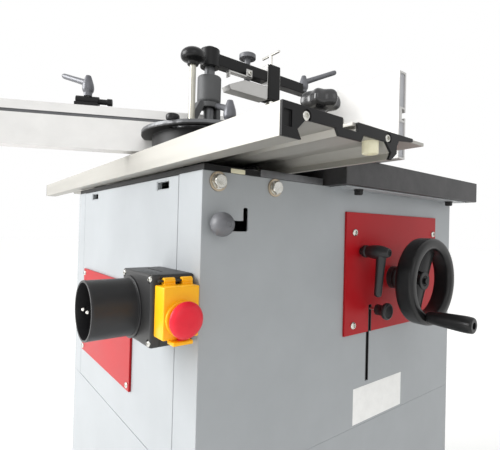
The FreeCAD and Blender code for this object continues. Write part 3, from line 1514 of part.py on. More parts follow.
def carriage():
    """The casting that rides on the columns and holds housing, nut and motor."""
    ring = rod("housing_radius + carriage_ring", "carriage_height")
    parts = [ring]
    tools = [rod("housing_radius + bearing_fit", "carriage_height + 2 * overrun", z="-overrun")]
    for side in ("-1", "1"):
        spot = {"x": f"{side} * {COLUMN_X}", "y": "column_behind"}
        parts.append(rod("lift_column_radius + bush_wall", "carriage_height", **spot))
        tools.append(rod(
            "lift_column_radius + run_fit", "carriage_height + 2 * overrun", z="-overrun", **spot))
    parts.append(block(
        f"2 * {COLUMN_X}", "column_behind + (web_thickness - housing_radius) / 2", "carriage_height",
        f"-{COLUMN_X}", "housing_radius / 2"))
    nut_x = SCREW_X
    nut_y = "wheel_from_front - spindle_from_front"
    parts.append(rod("nut_boss_radius", "arm_plate", nut_x, nut_y))
    parts.append(block(
        f"{nut_x} - {COLUMN_X}", "web_thickness", "arm_plate", COLUMN_X,
        f"{nut_y} - web_thickness / 2"))
    tools.append(rod("lead_radius + run_fit", "arm_plate + 2 * overrun", nut_x, nut_y, "-overrun"))
    parts.append(block(
        "motor_base_width", "motor_behind + motor_radius - column_behind", "motor_base",
        "-motor_base_width / 2", "column_behind"))
    tools.append(rod(
        "motor_shaft_radius + overrun", "motor_base + 2 * overrun", "0", "motor_behind", "-overrun"))
    tools.append(rod(
        "lock_pin_radius + run_fit", "2 * (housing_radius + carriage_ring)",
        z="pin_rise - carriage_bottom", along="x"))
    piece("carriage", spindle_at(cut(join(*parts), *tools), "carriage_bottom"))


# Fence on the main table

FENCE_Y = "board_face + board_thickness - cabinet_depth / 2"
FENCE_Z = f"{DECK} + near_gap"


def fence_body():
    """A hood open to the front and below, with feet, wings and a dust port."""
    def hood_outline(shrink):
        half = f"(hood_half - {shrink})"
        back = f"(hood_depth - {shrink})"
        corner = "hood_corner"
        return [
            (f"-{half}", "0"), (half, "0"), (half, f"{back} - {corner}"),
            (f"{half} - {corner}", back, corner, 1), (f"{corner} - {half}", back),
            (f"-{half}", f"{back} - {corner}", corner, 1)]
    hood = padded("XY_Plane", "hood_height", hood_outline("0"))
    hollow = padded("XY_Plane", "hood_height - hood_wall + overrun", hood_outline("hood_wall"))
    put(hollow, z="-overrun")
    mouth = block(
        "2 * (hood_half - hood_wall)", "hood_wall + overrun", "hood_height - hood_wall + overrun",
        "hood_wall - hood_half", "-overrun", "-overrun")
    port = rod(
        "port_radius", "port_length + hood_wall", "0", "hood_depth - hood_wall", "port_rise", along="y")
    duct = rod(
        "port_radius - port_wall", "port_length + hood_wall + 2 * overrun",
        "0", "hood_depth - hood_wall - overrun", "port_rise", along="y")
    reach = "wing_reach - hood_half + hood_wall"
    parts = [hood, port]
    tools = [hollow, mouth, duct]
    for side in ("-1", "1"):
        left = f"{side} * (hood_half - hood_wall + ({reach}) / 2) - ({reach}) / 2"
        parts.append(block(reach, "wing_thickness", "wing_height", left))
        parts.append(block(reach, "foot_plate_depth", "foot_plate", left))
        tools.append(block(
            "clamp_slot_width", "clamp_slot_length", "foot_plate + 2 * overrun",
            f"{side} * clamp_across - clamp_slot_width / 2",
            "wing_thickness + clamp_slot_front / 2", "-overrun"))
    piece("fence_body", put(cut(join(*parts), *tools), "0", FENCE_Y, FENCE_Z))


def fence_boards():
    rise = "board_slot_rise"
    back = "board_thickness"
    outline = [
        ("0", "0"), (back, "0"), (back, f"{rise} - board_slot_mouth / 2"),
        (f"{back} - board_slot_lip", f"{rise} - board_slot_mouth / 2"),
        (f"{back} - board_slot_lip", f"{rise} - board_slot_inner / 2"),
        (f"{back} - board_slot_depth", f"{rise} - board_slot_inner / 2"),
        (f"{back} - board_slot_depth", f"{rise} + board_slot_inner / 2"),
        (f"{back} - board_slot_lip", f"{rise} + board_slot_inner / 2"),
        (f"{back} - board_slot_lip", f"{rise} + board_slot_mouth / 2"),
        (back, f"{rise} + board_slot_mouth / 2"), (back, "board_height"), ("0", "board_height")]
    wall = "board_hollow_wall"
    low = rectangle(wall, wall, f"{back} - {wall}", f"{rise} - board_slot_inner / 2 - {wall}")
    high = rectangle(
        wall, f"{rise} + board_slot_inner / 2 + {wall}", f"{back} - {wall}", f"board_height - {wall}")
    face = f"board_face {FRONT}"
    for label, start, edge in (
            ("fence_board_right", "board_inner", "0"),
            ("fence_board_left", "-board_inner - board_length", "board_length")):
        bevel_run = "board_bevel" if edge == "0" else "board_length - board_bevel"
        board = padded("YZ_Plane", "board_length", outline, low, high)
        wedge = padded("XY_Plane", "board_height + 2 * overrun", [
            (edge, back), (bevel_run, back), (edge, f"{back} - board_bevel")])
        put(wedge, z="-overrun")
        piece(label, put(cut(board, wedge), start, face, f"{DECK} + board_lift"))


def fence_clamps():
    top = f"{FENCE_Z} + foot_plate"
    for label, side, angle in (("fence_clamp_left", "-1", "120"), ("fence_clamp_right", "1", "60")):
        clamping_lever(
            label, angle, f"{side} * clamp_across", f"{FENCE_Y} + clamp_behind", top,
            stud="foot_plate + 2 * near_gap")


def build():
    base_stand()
    cabinet_shell()
    front_panel()
    red_plates()
    frame_bolts()
    main_table()
    table_rings()
    guide_base()
    guide_rollers()
    sliding_table()
    star_knob()
    mitre_head()
    mitre_beam()
    flip_stop()
    mitre_levers()
    mitre_knob()
    clamp_foot()
    clamp_arm()
    clamp_block()
    pressure_shoe()
    clamp_screw()
    clamp_lever()
    switch_box()
    mains_inlet()
    emergency_lid()
    buttons()
    handwheel()
    handwheel_handle()
    lift_shaft_and_screw()
    guide_columns()
    lift_bracket()
    height_lock_lever()
    spindle_lock_pin()
    ball_knob()
    spindle_housing()
    spindle()
    drive()
    motor()
    carriage()
    fence_body()
    fence_boards()
    fence_clamps()


def write_parts():
    doc.recompute()
    broken = [item.Name for item in doc.Objects if {"Invalid", "Error"} & set(item.State)]
    if broken:
        raise RuntimeError(f"features failed: {broken}")
    for item in PIECES:
        if item.Shape.isNull() or not item.Shape.isValid():
            raise RuntimeError(f"{item.Label} has no valid shape")
    os.makedirs("parts", exist_ok=True)
    for item in PIECES:
        item.Shape.exportStep(f"parts/{item.Label}.step")


build()
write_parts()
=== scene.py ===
"""Looks of the spindle moulder: soft edges, turned grips, fasteners, materials and a studio.

Lengths are in millimetres, and become metres where a mesh, a modifier or an object takes them.
"""

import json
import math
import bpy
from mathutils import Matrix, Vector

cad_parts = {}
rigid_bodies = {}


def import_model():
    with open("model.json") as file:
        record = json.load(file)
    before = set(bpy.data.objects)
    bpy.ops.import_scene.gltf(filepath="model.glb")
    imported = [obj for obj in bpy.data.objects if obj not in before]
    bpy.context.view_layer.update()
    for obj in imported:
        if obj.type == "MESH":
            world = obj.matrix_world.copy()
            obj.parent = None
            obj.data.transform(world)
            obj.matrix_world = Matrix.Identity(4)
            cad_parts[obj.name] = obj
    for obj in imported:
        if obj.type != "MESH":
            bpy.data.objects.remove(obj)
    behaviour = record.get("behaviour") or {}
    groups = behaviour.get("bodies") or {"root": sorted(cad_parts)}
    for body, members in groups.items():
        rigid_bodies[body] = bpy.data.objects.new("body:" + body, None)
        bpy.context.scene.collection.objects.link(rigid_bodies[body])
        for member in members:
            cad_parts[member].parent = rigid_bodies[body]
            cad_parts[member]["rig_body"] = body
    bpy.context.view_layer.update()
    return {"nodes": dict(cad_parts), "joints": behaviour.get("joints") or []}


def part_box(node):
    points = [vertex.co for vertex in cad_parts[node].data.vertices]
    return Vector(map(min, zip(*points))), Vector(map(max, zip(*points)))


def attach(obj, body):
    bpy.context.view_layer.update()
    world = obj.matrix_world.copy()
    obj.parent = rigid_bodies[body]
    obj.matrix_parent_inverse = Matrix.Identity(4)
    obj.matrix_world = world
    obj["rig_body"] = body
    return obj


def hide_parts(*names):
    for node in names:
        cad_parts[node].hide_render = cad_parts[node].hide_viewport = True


bl_info = {
    "name": "Spindle moulder look",
    "version": (1, 0, 0),
    "blender": (4, 5, 0),
    "location": "View3D > Sidebar > Moulder",
    "description": "Finishes the packed spindle moulder with materials, soft edges, fasteners and a studio",
    "category": "Object",
}

import bmesh
import bpy
from bpy.props import FloatProperty, FloatVectorProperty, IntProperty, PointerProperty
from mathutils import Matrix, Vector

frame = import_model()

JOINTS = {joint["name"]: joint for joint in frame["joints"]}
MATERIALS = {}
UP = Vector((0, 0, 1))
RIGHTWARD = Vector((1, 0, 0))
FORWARD = Vector((0, -1, 0))
MM = 0.001


# Colours and materials

def colour(code):
    """Linear RGBA of an sRGB hex code."""
    channels = [int(code[start:start + 2], 16) / 255 for start in (0, 2, 4)]
    linear = [c / 12.92 if c <= 0.04045 else ((c + 0.055) / 1.055) ** 2.4 for c in channels]
    return (*linear, 1.0)


def darker(tone, share):
    """A linear colour at a share of its brightness."""
    return (*(channel * share for channel in tone[:3]), 1.0)


def feed(tree, node, inputs):
    """Sets the inputs of a node, by name or number, and links those whose value is a socket."""
    for key, value in inputs.items():
        if isinstance(value, bpy.types.NodeSocket):
            tree.links.new(value, node.inputs[key])
        else:
            node.inputs[key].default_value = value


def add_node(tree, kind, inputs=None, **options):
    """Adds a node with its own options and the values and links of its inputs."""
    node = tree.nodes.new(kind)
    for name, value in options.items():
        setattr(node, name, value)
    feed(tree, node, inputs or {})
    return node


# The grain of paint, castings and moulded skins and the marks of a cutter are finer than a pixel
# of the picture, so they are drawn about one to two and a half millimetres wide, to show at all.
PLAIN_GRAIN = 1.11
PAINT_GRAIN = 1.43
ENAMEL_GRAIN = 1.67
SAND_GRAIN = 2.38
PLANED_GRAIN = 2.0
DRAWN_GRAIN = 0.83
MILLED_GRAIN = 0.91
MOULD_GRAIN = 0.91
TURNING_MARKS = 1.047
GRINDING_MARKS = 1.208
GRAIN_HEIGHT = 0.4


def finish(name, dark, light, roughness, metallic=0.0, patch=111, stretch=(1, 1, 1),
           relief=0.06, grain=PLAIN_GRAIN, marks=0.0, spread=0.06, specular=0.5):
    """A material in Object coordinates whose colour and roughness vary in patches of one size.

    Its relief is a grain, or a row of cutting marks where their spacing is given.
    """
    dark, light = (colour(tone) if isinstance(tone, str) else tuple(tone) for tone in (dark, light))
    material = bpy.data.materials.new(name)
    material.use_nodes = True
    tree = material.node_tree
    shader = tree.nodes["Principled BSDF"]
    feed(tree, shader, {
        "Base Color": light, "Metallic": metallic, "Roughness": roughness, "Specular IOR Level": specular})
    place = add_node(tree, "ShaderNodeTexCoord")
    spacing = add_node(tree, "ShaderNodeMapping", {"Vector": place.outputs["Object"], "Scale": stretch})
    patches = add_node(tree, "ShaderNodeTexNoise", {
        "Vector": spacing.outputs["Vector"], "Scale": 1 / (patch * MM), "Detail": 5.0, "Roughness": 0.6})
    ramp = add_node(tree, "ShaderNodeValToRGB", {"Fac": patches.outputs["Fac"]})
    for stop, position, tone in zip(ramp.color_ramp.elements, (0.3, 0.7), (dark, light)):
        stop.position = position
        stop.color = tone
    uneven = add_node(tree, "ShaderNodeMapRange", {
        "Value": patches.outputs["Fac"], "To Min": max(roughness - spread, 0.02),
        "To Max": roughness + spread})
    if marks:
        # One wave of this texture is pi / 10 of its own units long
        fine = add_node(tree, "ShaderNodeTexWave", {
            "Vector": spacing.outputs["Vector"], "Scale": math.pi / 10 / (marks * MM),
            "Distortion": 1.5, "Detail": 2.0})
    else:
        fine = add_node(tree, "ShaderNodeTexNoise", {
            "Vector": spacing.outputs["Vector"], "Scale": 1 / (grain * MM), "Detail": 3.0})
    bump = add_node(tree, "ShaderNodeBump", {
        "Strength": relief, "Distance": GRAIN_HEIGHT * MM, "Height": fine.outputs["Fac"]})
    feed(tree, shader, {
        "Base Color": ramp.outputs["Color"], "Roughness": uneven.outputs["Result"],
        "Normal": bump.outputs["Normal"]})
    MATERIALS[name] = material
    return material


# The CAD frame in millimetres

def box_of(node):
    """The low and the high corner of a CAD node's box."""
    low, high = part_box(node)
    return low / MM, high / MM


def middle_of(node):
    """The middle of a CAD node's box."""
    low, high = box_of(node)
    return (low + high) / 2


def two_sides(node):
    """The name, the face and the outward way of a CAD node's right and left side."""
    low, high = box_of(node)
    return ("right", high.x, 1), ("left", low.x, -1)


def axis_of(joint):
    """The place and the direction of a joint's axis."""
    return Vector(JOINTS[joint]["pos_m"]) / MM, Vector(JOINTS[joint]["axis"])


# Objects and how they belong to the frame

def add_object(name, data):
    """An object in the scene from a mesh, a lamp or a camera."""
    obj = bpy.data.objects.new(name, data)
    bpy.context.scene.collection.objects.link(obj)
    return obj


def smooth(mesh, sharp=38):
    """Shades a mesh smooth, apart from edges over an angle in degrees."""
    mesh.shade_smooth()
    mesh.set_sharp_from_angle(angle=math.radians(sharp))


def object_from(name, bm):
    """A smooth-shaded object from a bmesh in millimetres, which is freed."""
    bmesh.ops.scale(bm, vec=(MM, MM, MM), verts=bm.verts)
    bmesh.ops.remove_doubles(bm, verts=bm.verts, dist=1e-7)
    bmesh.ops.recalc_face_normals(bm, faces=bm.faces)
    mesh = bpy.data.meshes.new(name)
    bm.to_mesh(mesh)
    bm.free()
    smooth(mesh)
    return add_object(name, mesh)


def baked(obj):
    """Applies the modifiers of an object and leaves it with a plain mesh."""
    graph = bpy.context.evaluated_depsgraph_get()
    mesh = bpy.data.meshes.new_from_object(obj.evaluated_get(graph))
    obj.modifiers.clear()
    obj.data = mesh
    return obj


def dropped(*objects):
    """Removes objects that have done their work."""
    for obj in objects:
        bpy.data.objects.remove(obj)


def settle(obj, material, node, *stands_for):
    """Gives a piece its material and the body of a CAD node, and hides the nodes it stands for."""
    obj.data.materials.clear()
    obj.data.materials.append(MATERIALS[material])
    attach(obj, frame["nodes"][node]["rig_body"])
    if stands_for:
        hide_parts(*stands_for)
    return obj


def stand_in(obj, material, node):
    """Settles a piece in the place of one CAD node."""
    return settle(obj, material, node, node)


def dress(material, *nodes):
    """Gives CAD nodes that stay in view a better material."""
    for node in nodes:
        mesh = frame["nodes"][node].data
        mesh.materials.clear()
        mesh.materials.append(MATERIALS[material])


def second_material(obj, material, test):
    """Gives the faces whose centre passes a test another material."""
    obj.data.materials.append(MATERIALS[material])
    for face in obj.data.polygons:
        if test(face.center / MM):
            face.material_index = 1


# Copies of CAD nodes

def soft_edges(obj, edge):
    """Rounds the sharp edges of an object, and keeps its flat faces flat."""
    smooth(obj.data, 180)
    bevel = obj.modifiers.new("soft_edges", "BEVEL")
    bevel.width = edge * MM
    bevel.segments = 2
    bevel.limit_method = "ANGLE"
    bevel.angle_limit = math.radians(35)
    bevel.use_clamp_overlap = False
    flats = obj.modifiers.new("flats", "WEIGHTED_NORMAL")
    flats.weight = 100
    baked(obj)


def combine(obj, operation, *others):
    """Adds solids to an object, or takes them out of it, and removes them."""
    for other in others:
        change = obj.modifiers.new("change", "BOOLEAN")
        change.operation = operation
        change.solver = "EXACT"
        change.object = other
    baked(obj)
    dropped(*others)
    smooth(obj.data)


def merge_flats(mesh):
    """Makes one face of the coplanar faces that touch."""
    bm = bmesh.new()
    bm.from_mesh(mesh)
    bmesh.ops.remove_doubles(bm, verts=bm.verts, dist=1e-6)
    bmesh.ops.dissolve_limit(bm, angle_limit=math.radians(0.5), verts=bm.verts, edges=bm.edges)
    bm.to_mesh(mesh)
    bm.free()


def soft_copy(node, material, edge, cutters=(), fillers=()):
    """A copy of a CAD node with its edges broken, after fillers are added to it and cutters taken out."""
    obj = add_object(f"{node}_finished", frame["nodes"][node].data.copy())
    merge_flats(obj.data)
    for operation, others in (("UNION", fillers), ("DIFFERENCE", cutters)):
        if others:
            combine(obj, operation, *others)
            merge_flats(obj.data)
    soft_edges(obj, edge)
    return stand_in(obj, material, node)


def split_level(obj, height):
    """Splits the faces of an object along a level plane."""
    bm = bmesh.new()
    bm.from_mesh(obj.data)
    everything = [*bm.verts, *bm.edges, *bm.faces]
    bmesh.ops.bisect_plane(bm, geom=everything, plane_co=(0, 0, height * MM), plane_no=UP)
    bm.to_mesh(obj.data)
    bm.free()


# Solids

def soft_block(name, corner, opposite, edge=0.0):
    """A block between two opposite corners, with rounded edges where a rounding is given."""
    low, high = (Vector(map(pick, corner, opposite)) for pick in (min, max))
    bm = bmesh.new()
    bmesh.ops.create_cube(bm, size=1)
    bmesh.ops.scale(bm, vec=high - low, verts=bm.verts)
    bmesh.ops.translate(bm, vec=(low + high) / 2, verts=bm.verts)
    if edge:
        bmesh.ops.bevel(bm, geom=list(bm.edges), offset=edge, segments=3, profile=0.5, affect="EDGES")
    return object_from(name, bm)


def rounded_outline(corners, steps=5):
    """Replaces the corners of an open outline that have a rounding by short curves."""
    full = [(*corner, 0, False)[:4] if len(corner) == 2 else (*corner, False)[:4] for corner in corners]
    points = []
    for index, (radius, height, rounding, shaped) in enumerate(full):
        here = Vector((radius, height))
        if not rounding or index in (0, len(full) - 1):
            points.append((radius, height, shaped))
            continue
        legs = [Vector(full[index + way][:2]) - here for way in (-1, 1)]
        ends = [here + leg.normalized() * min(rounding, leg.length / 2) for leg in legs]
        for step in range(steps + 1):
            t = step / steps
            spot = ends[0] * (1 - t) ** 2 + here * 2 * t * (1 - t) + ends[1] * t ** 2
            points.append((spot.x, spot.y, shaped))
    return points


def placing(place, axis):
    """A matrix that stands +Z on a place along an axis."""
    turn = UP.rotation_difference(Vector(axis)).to_matrix().to_4x4()
    return Matrix.Translation(Vector(place)) @ turn


def lathe(name, corners, place=(0, 0, 0), axis=UP, segments=72, shape=None):
    """Turns an outline of (radius, height, rounding, shaped) corners; shape(angle) scales shaped ones."""
    bm = bmesh.new()
    rings = []
    for radius, height, shaped in rounded_outline(corners):
        if radius < 1e-6:
            rings.append([bm.verts.new((0, 0, height))])
            continue
        ring = []
        for step in range(segments):
            angle = 2 * math.pi * step / segments
            reach = radius * shape(angle) if shaped else radius
            ring.append(bm.verts.new((reach * math.cos(angle), reach * math.sin(angle), height)))
        rings.append(ring)
    for lower, upper in zip(rings, rings[1:]):
        for step in range(segments):
            after = (step + 1) % segments
            face = [lower[step % len(lower)], lower[after % len(lower)],
                    upper[after % len(upper)], upper[step % len(upper)]]
            distinct = list(dict.fromkeys(face))
            if len(distinct) > 2:
                bm.faces.new(distinct)
    for ring in (rings[0], rings[-1]):
        if len(ring) > 1 and corners[0][:2] != corners[-1][:2]:
            bm.faces.new(ring)
    bm.transform(placing(place, axis))
    return object_from(name, bm)


def cylinder(name, radius, length, place, axis, segments=72):
    """A plain round solid that stands on a place."""
    return lathe(name, [(0, 0), (radius, 0), (radius, length), (0, length)], place, axis, segments)


def sweep(name, stations, side, ring=28):
    """A closed skin through stations of (centre, half width along side, half height)."""
    bm = bmesh.new()
    side = Vector(side)
    rings = []
    for index, (centre, half_width, half_height) in enumerate(stations):
        before = Vector(stations[max(index - 1, 0)][0])
        after = Vector(stations[min(index + 1, len(stations) - 1)][0])
        lift = (after - before).normalized().cross(side)
        loop = []
        for step in range(ring):
            angle = 2 * math.pi * step / ring
            offset = side * half_width * math.cos(angle) + lift * half_height * math.sin(angle)
            loop.append(bm.verts.new(Vector(centre) + offset))
        rings.append(loop)
    for lower, upper in zip(rings, rings[1:]):
        for step in range(ring):
            after = (step + 1) % ring
            bm.faces.new((lower[step], lower[after], upper[after], upper[step]))
    bm.faces.new(rings[0])
    bm.faces.new(rings[-1])
    return object_from(name, bm)


def joined(name, *objects):
    """One object from the meshes of several, which are removed."""
    bm = bmesh.new()
    for obj in objects:
        bm.from_mesh(obj.data)
    dropped(*objects)
    mesh = bpy.data.meshes.new(name)
    bm.to_mesh(mesh)
    bm.free()
    smooth(mesh)
    return add_object(name, mesh)


def six_sided(angle):
    """How far a hexagon of unit inner radius reaches at an angle."""
    sixth = math.pi / 3
    return 1 / math.cos(angle % sixth - sixth / 2)


# Fasteners, placed by geometry nodes

# Numbers of the sockets that hold a plain number on the Random Value node
RANDOM_MOST = 3
RANDOM_VALUE = 1
TURN_SEED = 0


def fastener_nodes():
    """A node group that stands one shape on each point, facing as the point says, with a chance turn."""
    tree = bpy.data.node_groups.new("fasteners_on_points", "GeometryNodeTree")
    kinds = {"Points": "Geometry", "Shape": "Object", "Material": "Material", "Turn": "Float"}
    for name, kind in kinds.items():
        tree.interface.new_socket(name, in_out="INPUT", socket_type=f"NodeSocket{kind}")
    tree.interface.new_socket("Fasteners", in_out="OUTPUT", socket_type="NodeSocketGeometry")
    given = add_node(tree, "NodeGroupInput").outputs
    facing = add_node(
        tree, "GeometryNodeInputNamedAttribute", {"Name": "facing"}, data_type="FLOAT_VECTOR")
    align = add_node(
        tree, "FunctionNodeAlignRotationToVector", {"Vector": facing.outputs["Attribute"]}, axis="Z")
    chance = add_node(tree, "FunctionNodeRandomValue", {RANDOM_MOST: given["Turn"], "Seed": TURN_SEED})
    about = add_node(tree, "FunctionNodeAxisAngleToRotation", {"Angle": chance.outputs[RANDOM_VALUE]})
    turned = add_node(
        tree, "FunctionNodeRotateRotation",
        {"Rotation": align.outputs["Rotation"], "Rotate By": about.outputs["Rotation"]},
        rotation_space="LOCAL")
    shape = add_node(tree, "GeometryNodeObjectInfo", {"Object": given["Shape"]})
    stand = add_node(tree, "GeometryNodeInstanceOnPoints", {
        "Points": given["Points"], "Instance": shape.outputs["Geometry"],
        "Rotation": turned.outputs["Rotation"]})
    solid = add_node(tree, "GeometryNodeRealizeInstances", {"Geometry": stand.outputs["Instances"]})
    painted = add_node(tree, "GeometryNodeSetMaterial", {
        "Geometry": solid.outputs["Geometry"], "Material": given["Material"]})
    add_node(tree, "NodeGroupOutput", {"Fasteners": painted.outputs["Geometry"]})
    return tree


def fasteners(name, shape, places, material, node, *stands_for):
    """Stands a shape on (place, direction) pairs as one piece that rides with a CAD node."""
    mesh = bpy.data.meshes.new(name)
    mesh.from_pydata([Vector(place) * MM for place, _ in places], [], [])
    facing = mesh.attributes.new("facing", "FLOAT_VECTOR", "POINT")
    for entry, (_, direction) in zip(facing.data, places):
        entry.vector = direction
    obj = add_object(name, mesh)
    rows = obj.modifiers.new("rows", "NODES")
    rows.node_group = bpy.data.node_groups.get("fasteners_on_points") or fastener_nodes()
    sockets = {item.name: item.identifier for item in rows.node_group.interface.items_tree}
    rows[sockets["Shape"]] = shape
    rows[sockets["Material"]] = MATERIALS[material]
    rows[sockets["Turn"]] = math.pi
    obj.update_tag()
    bpy.context.view_layer.update()
    baked(obj)
    dropped(shape)
    return settle(obj, material, node, *stands_for)


def button_screw(radius, height):
    """A domed head with a hexagon socket, standing on +Z."""
    socket, sunk = radius * 0.42, 0.2
    return lathe("button_screw", [
        (0, -sunk), (radius, -sunk), (radius, height * 0.35, height * 0.2),
        (radius * 0.8, height * 0.85, radius * 0.25), (radius * 0.55, height, radius * 0.08),
        (socket * 1.16, height), (socket, height * 0.96, 0, True), (socket, height * 0.3, 0, True),
        (0, height * 0.22)], segments=48, shape=six_sided)


def hex_bolt(washer_radius, washer, across, head):
    """A washer and a chamfered hexagon head, standing on +Z."""
    flat = across / 2
    return lathe("hex_bolt", [
        (0, 0), (washer_radius, 0), (washer_radius, washer, 0.5), (flat * 1.16, washer),
        (flat, washer + 0.1, 0, True), (flat, washer + head * 0.8, 0, True),
        (flat * 0.96, washer + head, 0.4), (flat * 0.5, washer + head * 0.97), (0, washer + head * 0.93)],
        segments=72, shape=six_sided)


# Grips that are made more than once

LEVER_HUB_HEIGHT = 32
LEVER_SCREW_SINK = 1.5
LEVER_ARM = 60
LEVER_ARM_START = 25.4
LEVER_ARM_DROP = 5.5
LEVER_ARM_ANGLE = math.radians(20)
LEVER_BALL = 6


def clamping_lever(node, joint):
    """A die-cast bullet hub with a cap screw and a tapered arm, over the CAD lever's axis and arm."""
    pivot = Vector(JOINTS[joint]["pos_m"])
    rise = LEVER_ARM_START + LEVER_ARM * math.sin(LEVER_ARM_ANGLE) + LEVER_BALL
    foot = Vector((pivot.x / MM, pivot.y / MM, box_of(node)[1].z - rise))
    spots = [vertex.co - pivot for vertex in frame["nodes"][node].data.vertices]
    far = max(spots, key=lambda spot: spot.xy.length)
    heading = Vector((far.x, far.y, 0)).normalized()
    along = heading * math.cos(LEVER_ARM_ANGLE) + UP * math.sin(LEVER_ARM_ANGLE)
    top, screw_seat = LEVER_HUB_HEIGHT, LEVER_HUB_HEIGHT - LEVER_SCREW_SINK
    hub = lathe(f"{node}_hub", [
        (0, 0), (6, 0, 0.4), (6.2, 5, 1.5), (8.8, 9, 3), (8.8, 17, 6), (4.6, top - 2, 5), (3.9, top, 0.8),
        (3.2, top, 0.2), (3.1, screw_seat), (0, screw_seat)], foot)
    start = foot + UP * (LEVER_ARM_START - LEVER_ARM_DROP)
    stations = [(start, 5.6, 5.2), (start + along * 14, 5.2, 4.8)]
    for share, width in ((0.5, 4.9), (0.8, 4.8), (0.98, 4.8), (1.04, 4.5), (1.07, 3.6), (1.085, 2.0)):
        stations.append((start + along * LEVER_ARM * share, width, width * 0.92))
    arm = sweep(f"{node}_arm", stations, heading.cross(UP))
    stand_in(joined(f"{node}_finished", hub, arm), "die_cast_lever", node)
    screw = button_screw(radius=2.7, height=2)
    fasteners(f"{node}_screw", screw, [(foot + UP * screw_seat, UP)], "zinc_plated_steel", node)


# Settings

def length_setting(name, description, default):
    """A property for a length that is given in millimetres."""
    return FloatProperty(name=name, description=description, default=default * MM, min=0, unit="LENGTH")


def light_setting(name, description, default, unit="NONE"):
    """A property for a strength of light."""
    return FloatProperty(name=name, description=description, default=default, min=0, unit=unit)


def colour_setting(name, description, code):
    """A property for a colour that is given as an sRGB hex code."""
    return FloatVectorProperty(
        name=name, description=description, default=colour(code), subtype="COLOR", size=4, min=0, max=1)


class MoulderSizes(bpy.types.PropertyGroup):
    """Sizes, counts and light levels that the pieces of the look share."""

    sheet_edge: length_setting("Sheet edge", "Rounding of the edges of bent sheet", 1.1)
    casting_edge: length_setting("Casting edge", "Rounding of the edges of castings", 1.4)
    extrusion_edge: length_setting("Extrusion edge", "Rounding of the edges of extruded aluminium", 0.45)
    plate_screw: length_setting("Plate screw radius", "Head radius of the screws in the control plate", 6.2)
    star_lobes: IntProperty(
        name="Star knob lobes", description="Lobes round the star knob", default=6, min=3)
    wheel_spokes: IntProperty(
        name="Handwheel spokes", description="Spokes of the handwheel, the first towards its handle",
        default=2, min=1)
    key_energy: light_setting("Key light", "Power of the large lamp in front", 145.0, "POWER")
    fill_energy: light_setting("Fill light", "Power of the small lamp on the right", 8.0, "POWER")
    sky: light_setting("Sky", "Strength of the sky as it lights the object", 0.8)
    floor_glow: light_setting("Floor glow", "Light that the floor adds where it is seen", 0.26)


class MoulderColours(bpy.types.PropertyGroup):
    """Colours of the painted and moulded pieces that catch the eye."""

    cabinet: colour_setting("Cabinet", "Powder coat of the stand, the cabinet and its panel", "a4a8ab")
    plates: colour_setting("Plates", "Powder coat of the front plate and the control plate", "ab131c")
    lid: colour_setting("Emergency lid", "Plastic of the hinged lid over the start button", "ffb912")
    stop: colour_setting("Stop button", "Plastic of the stop mushroom and the lid's latch", "e41d33")


GROUPS = {"moulder_sizes": MoulderSizes, "moulder_colours": MoulderColours}


def settings():
    """The sizes and levels as they are set in the scene."""
    return bpy.context.scene.moulder_sizes


def size_of(name):
    """A length from the settings in millimetres."""
    return getattr(settings(), name) / MM


# Pieces

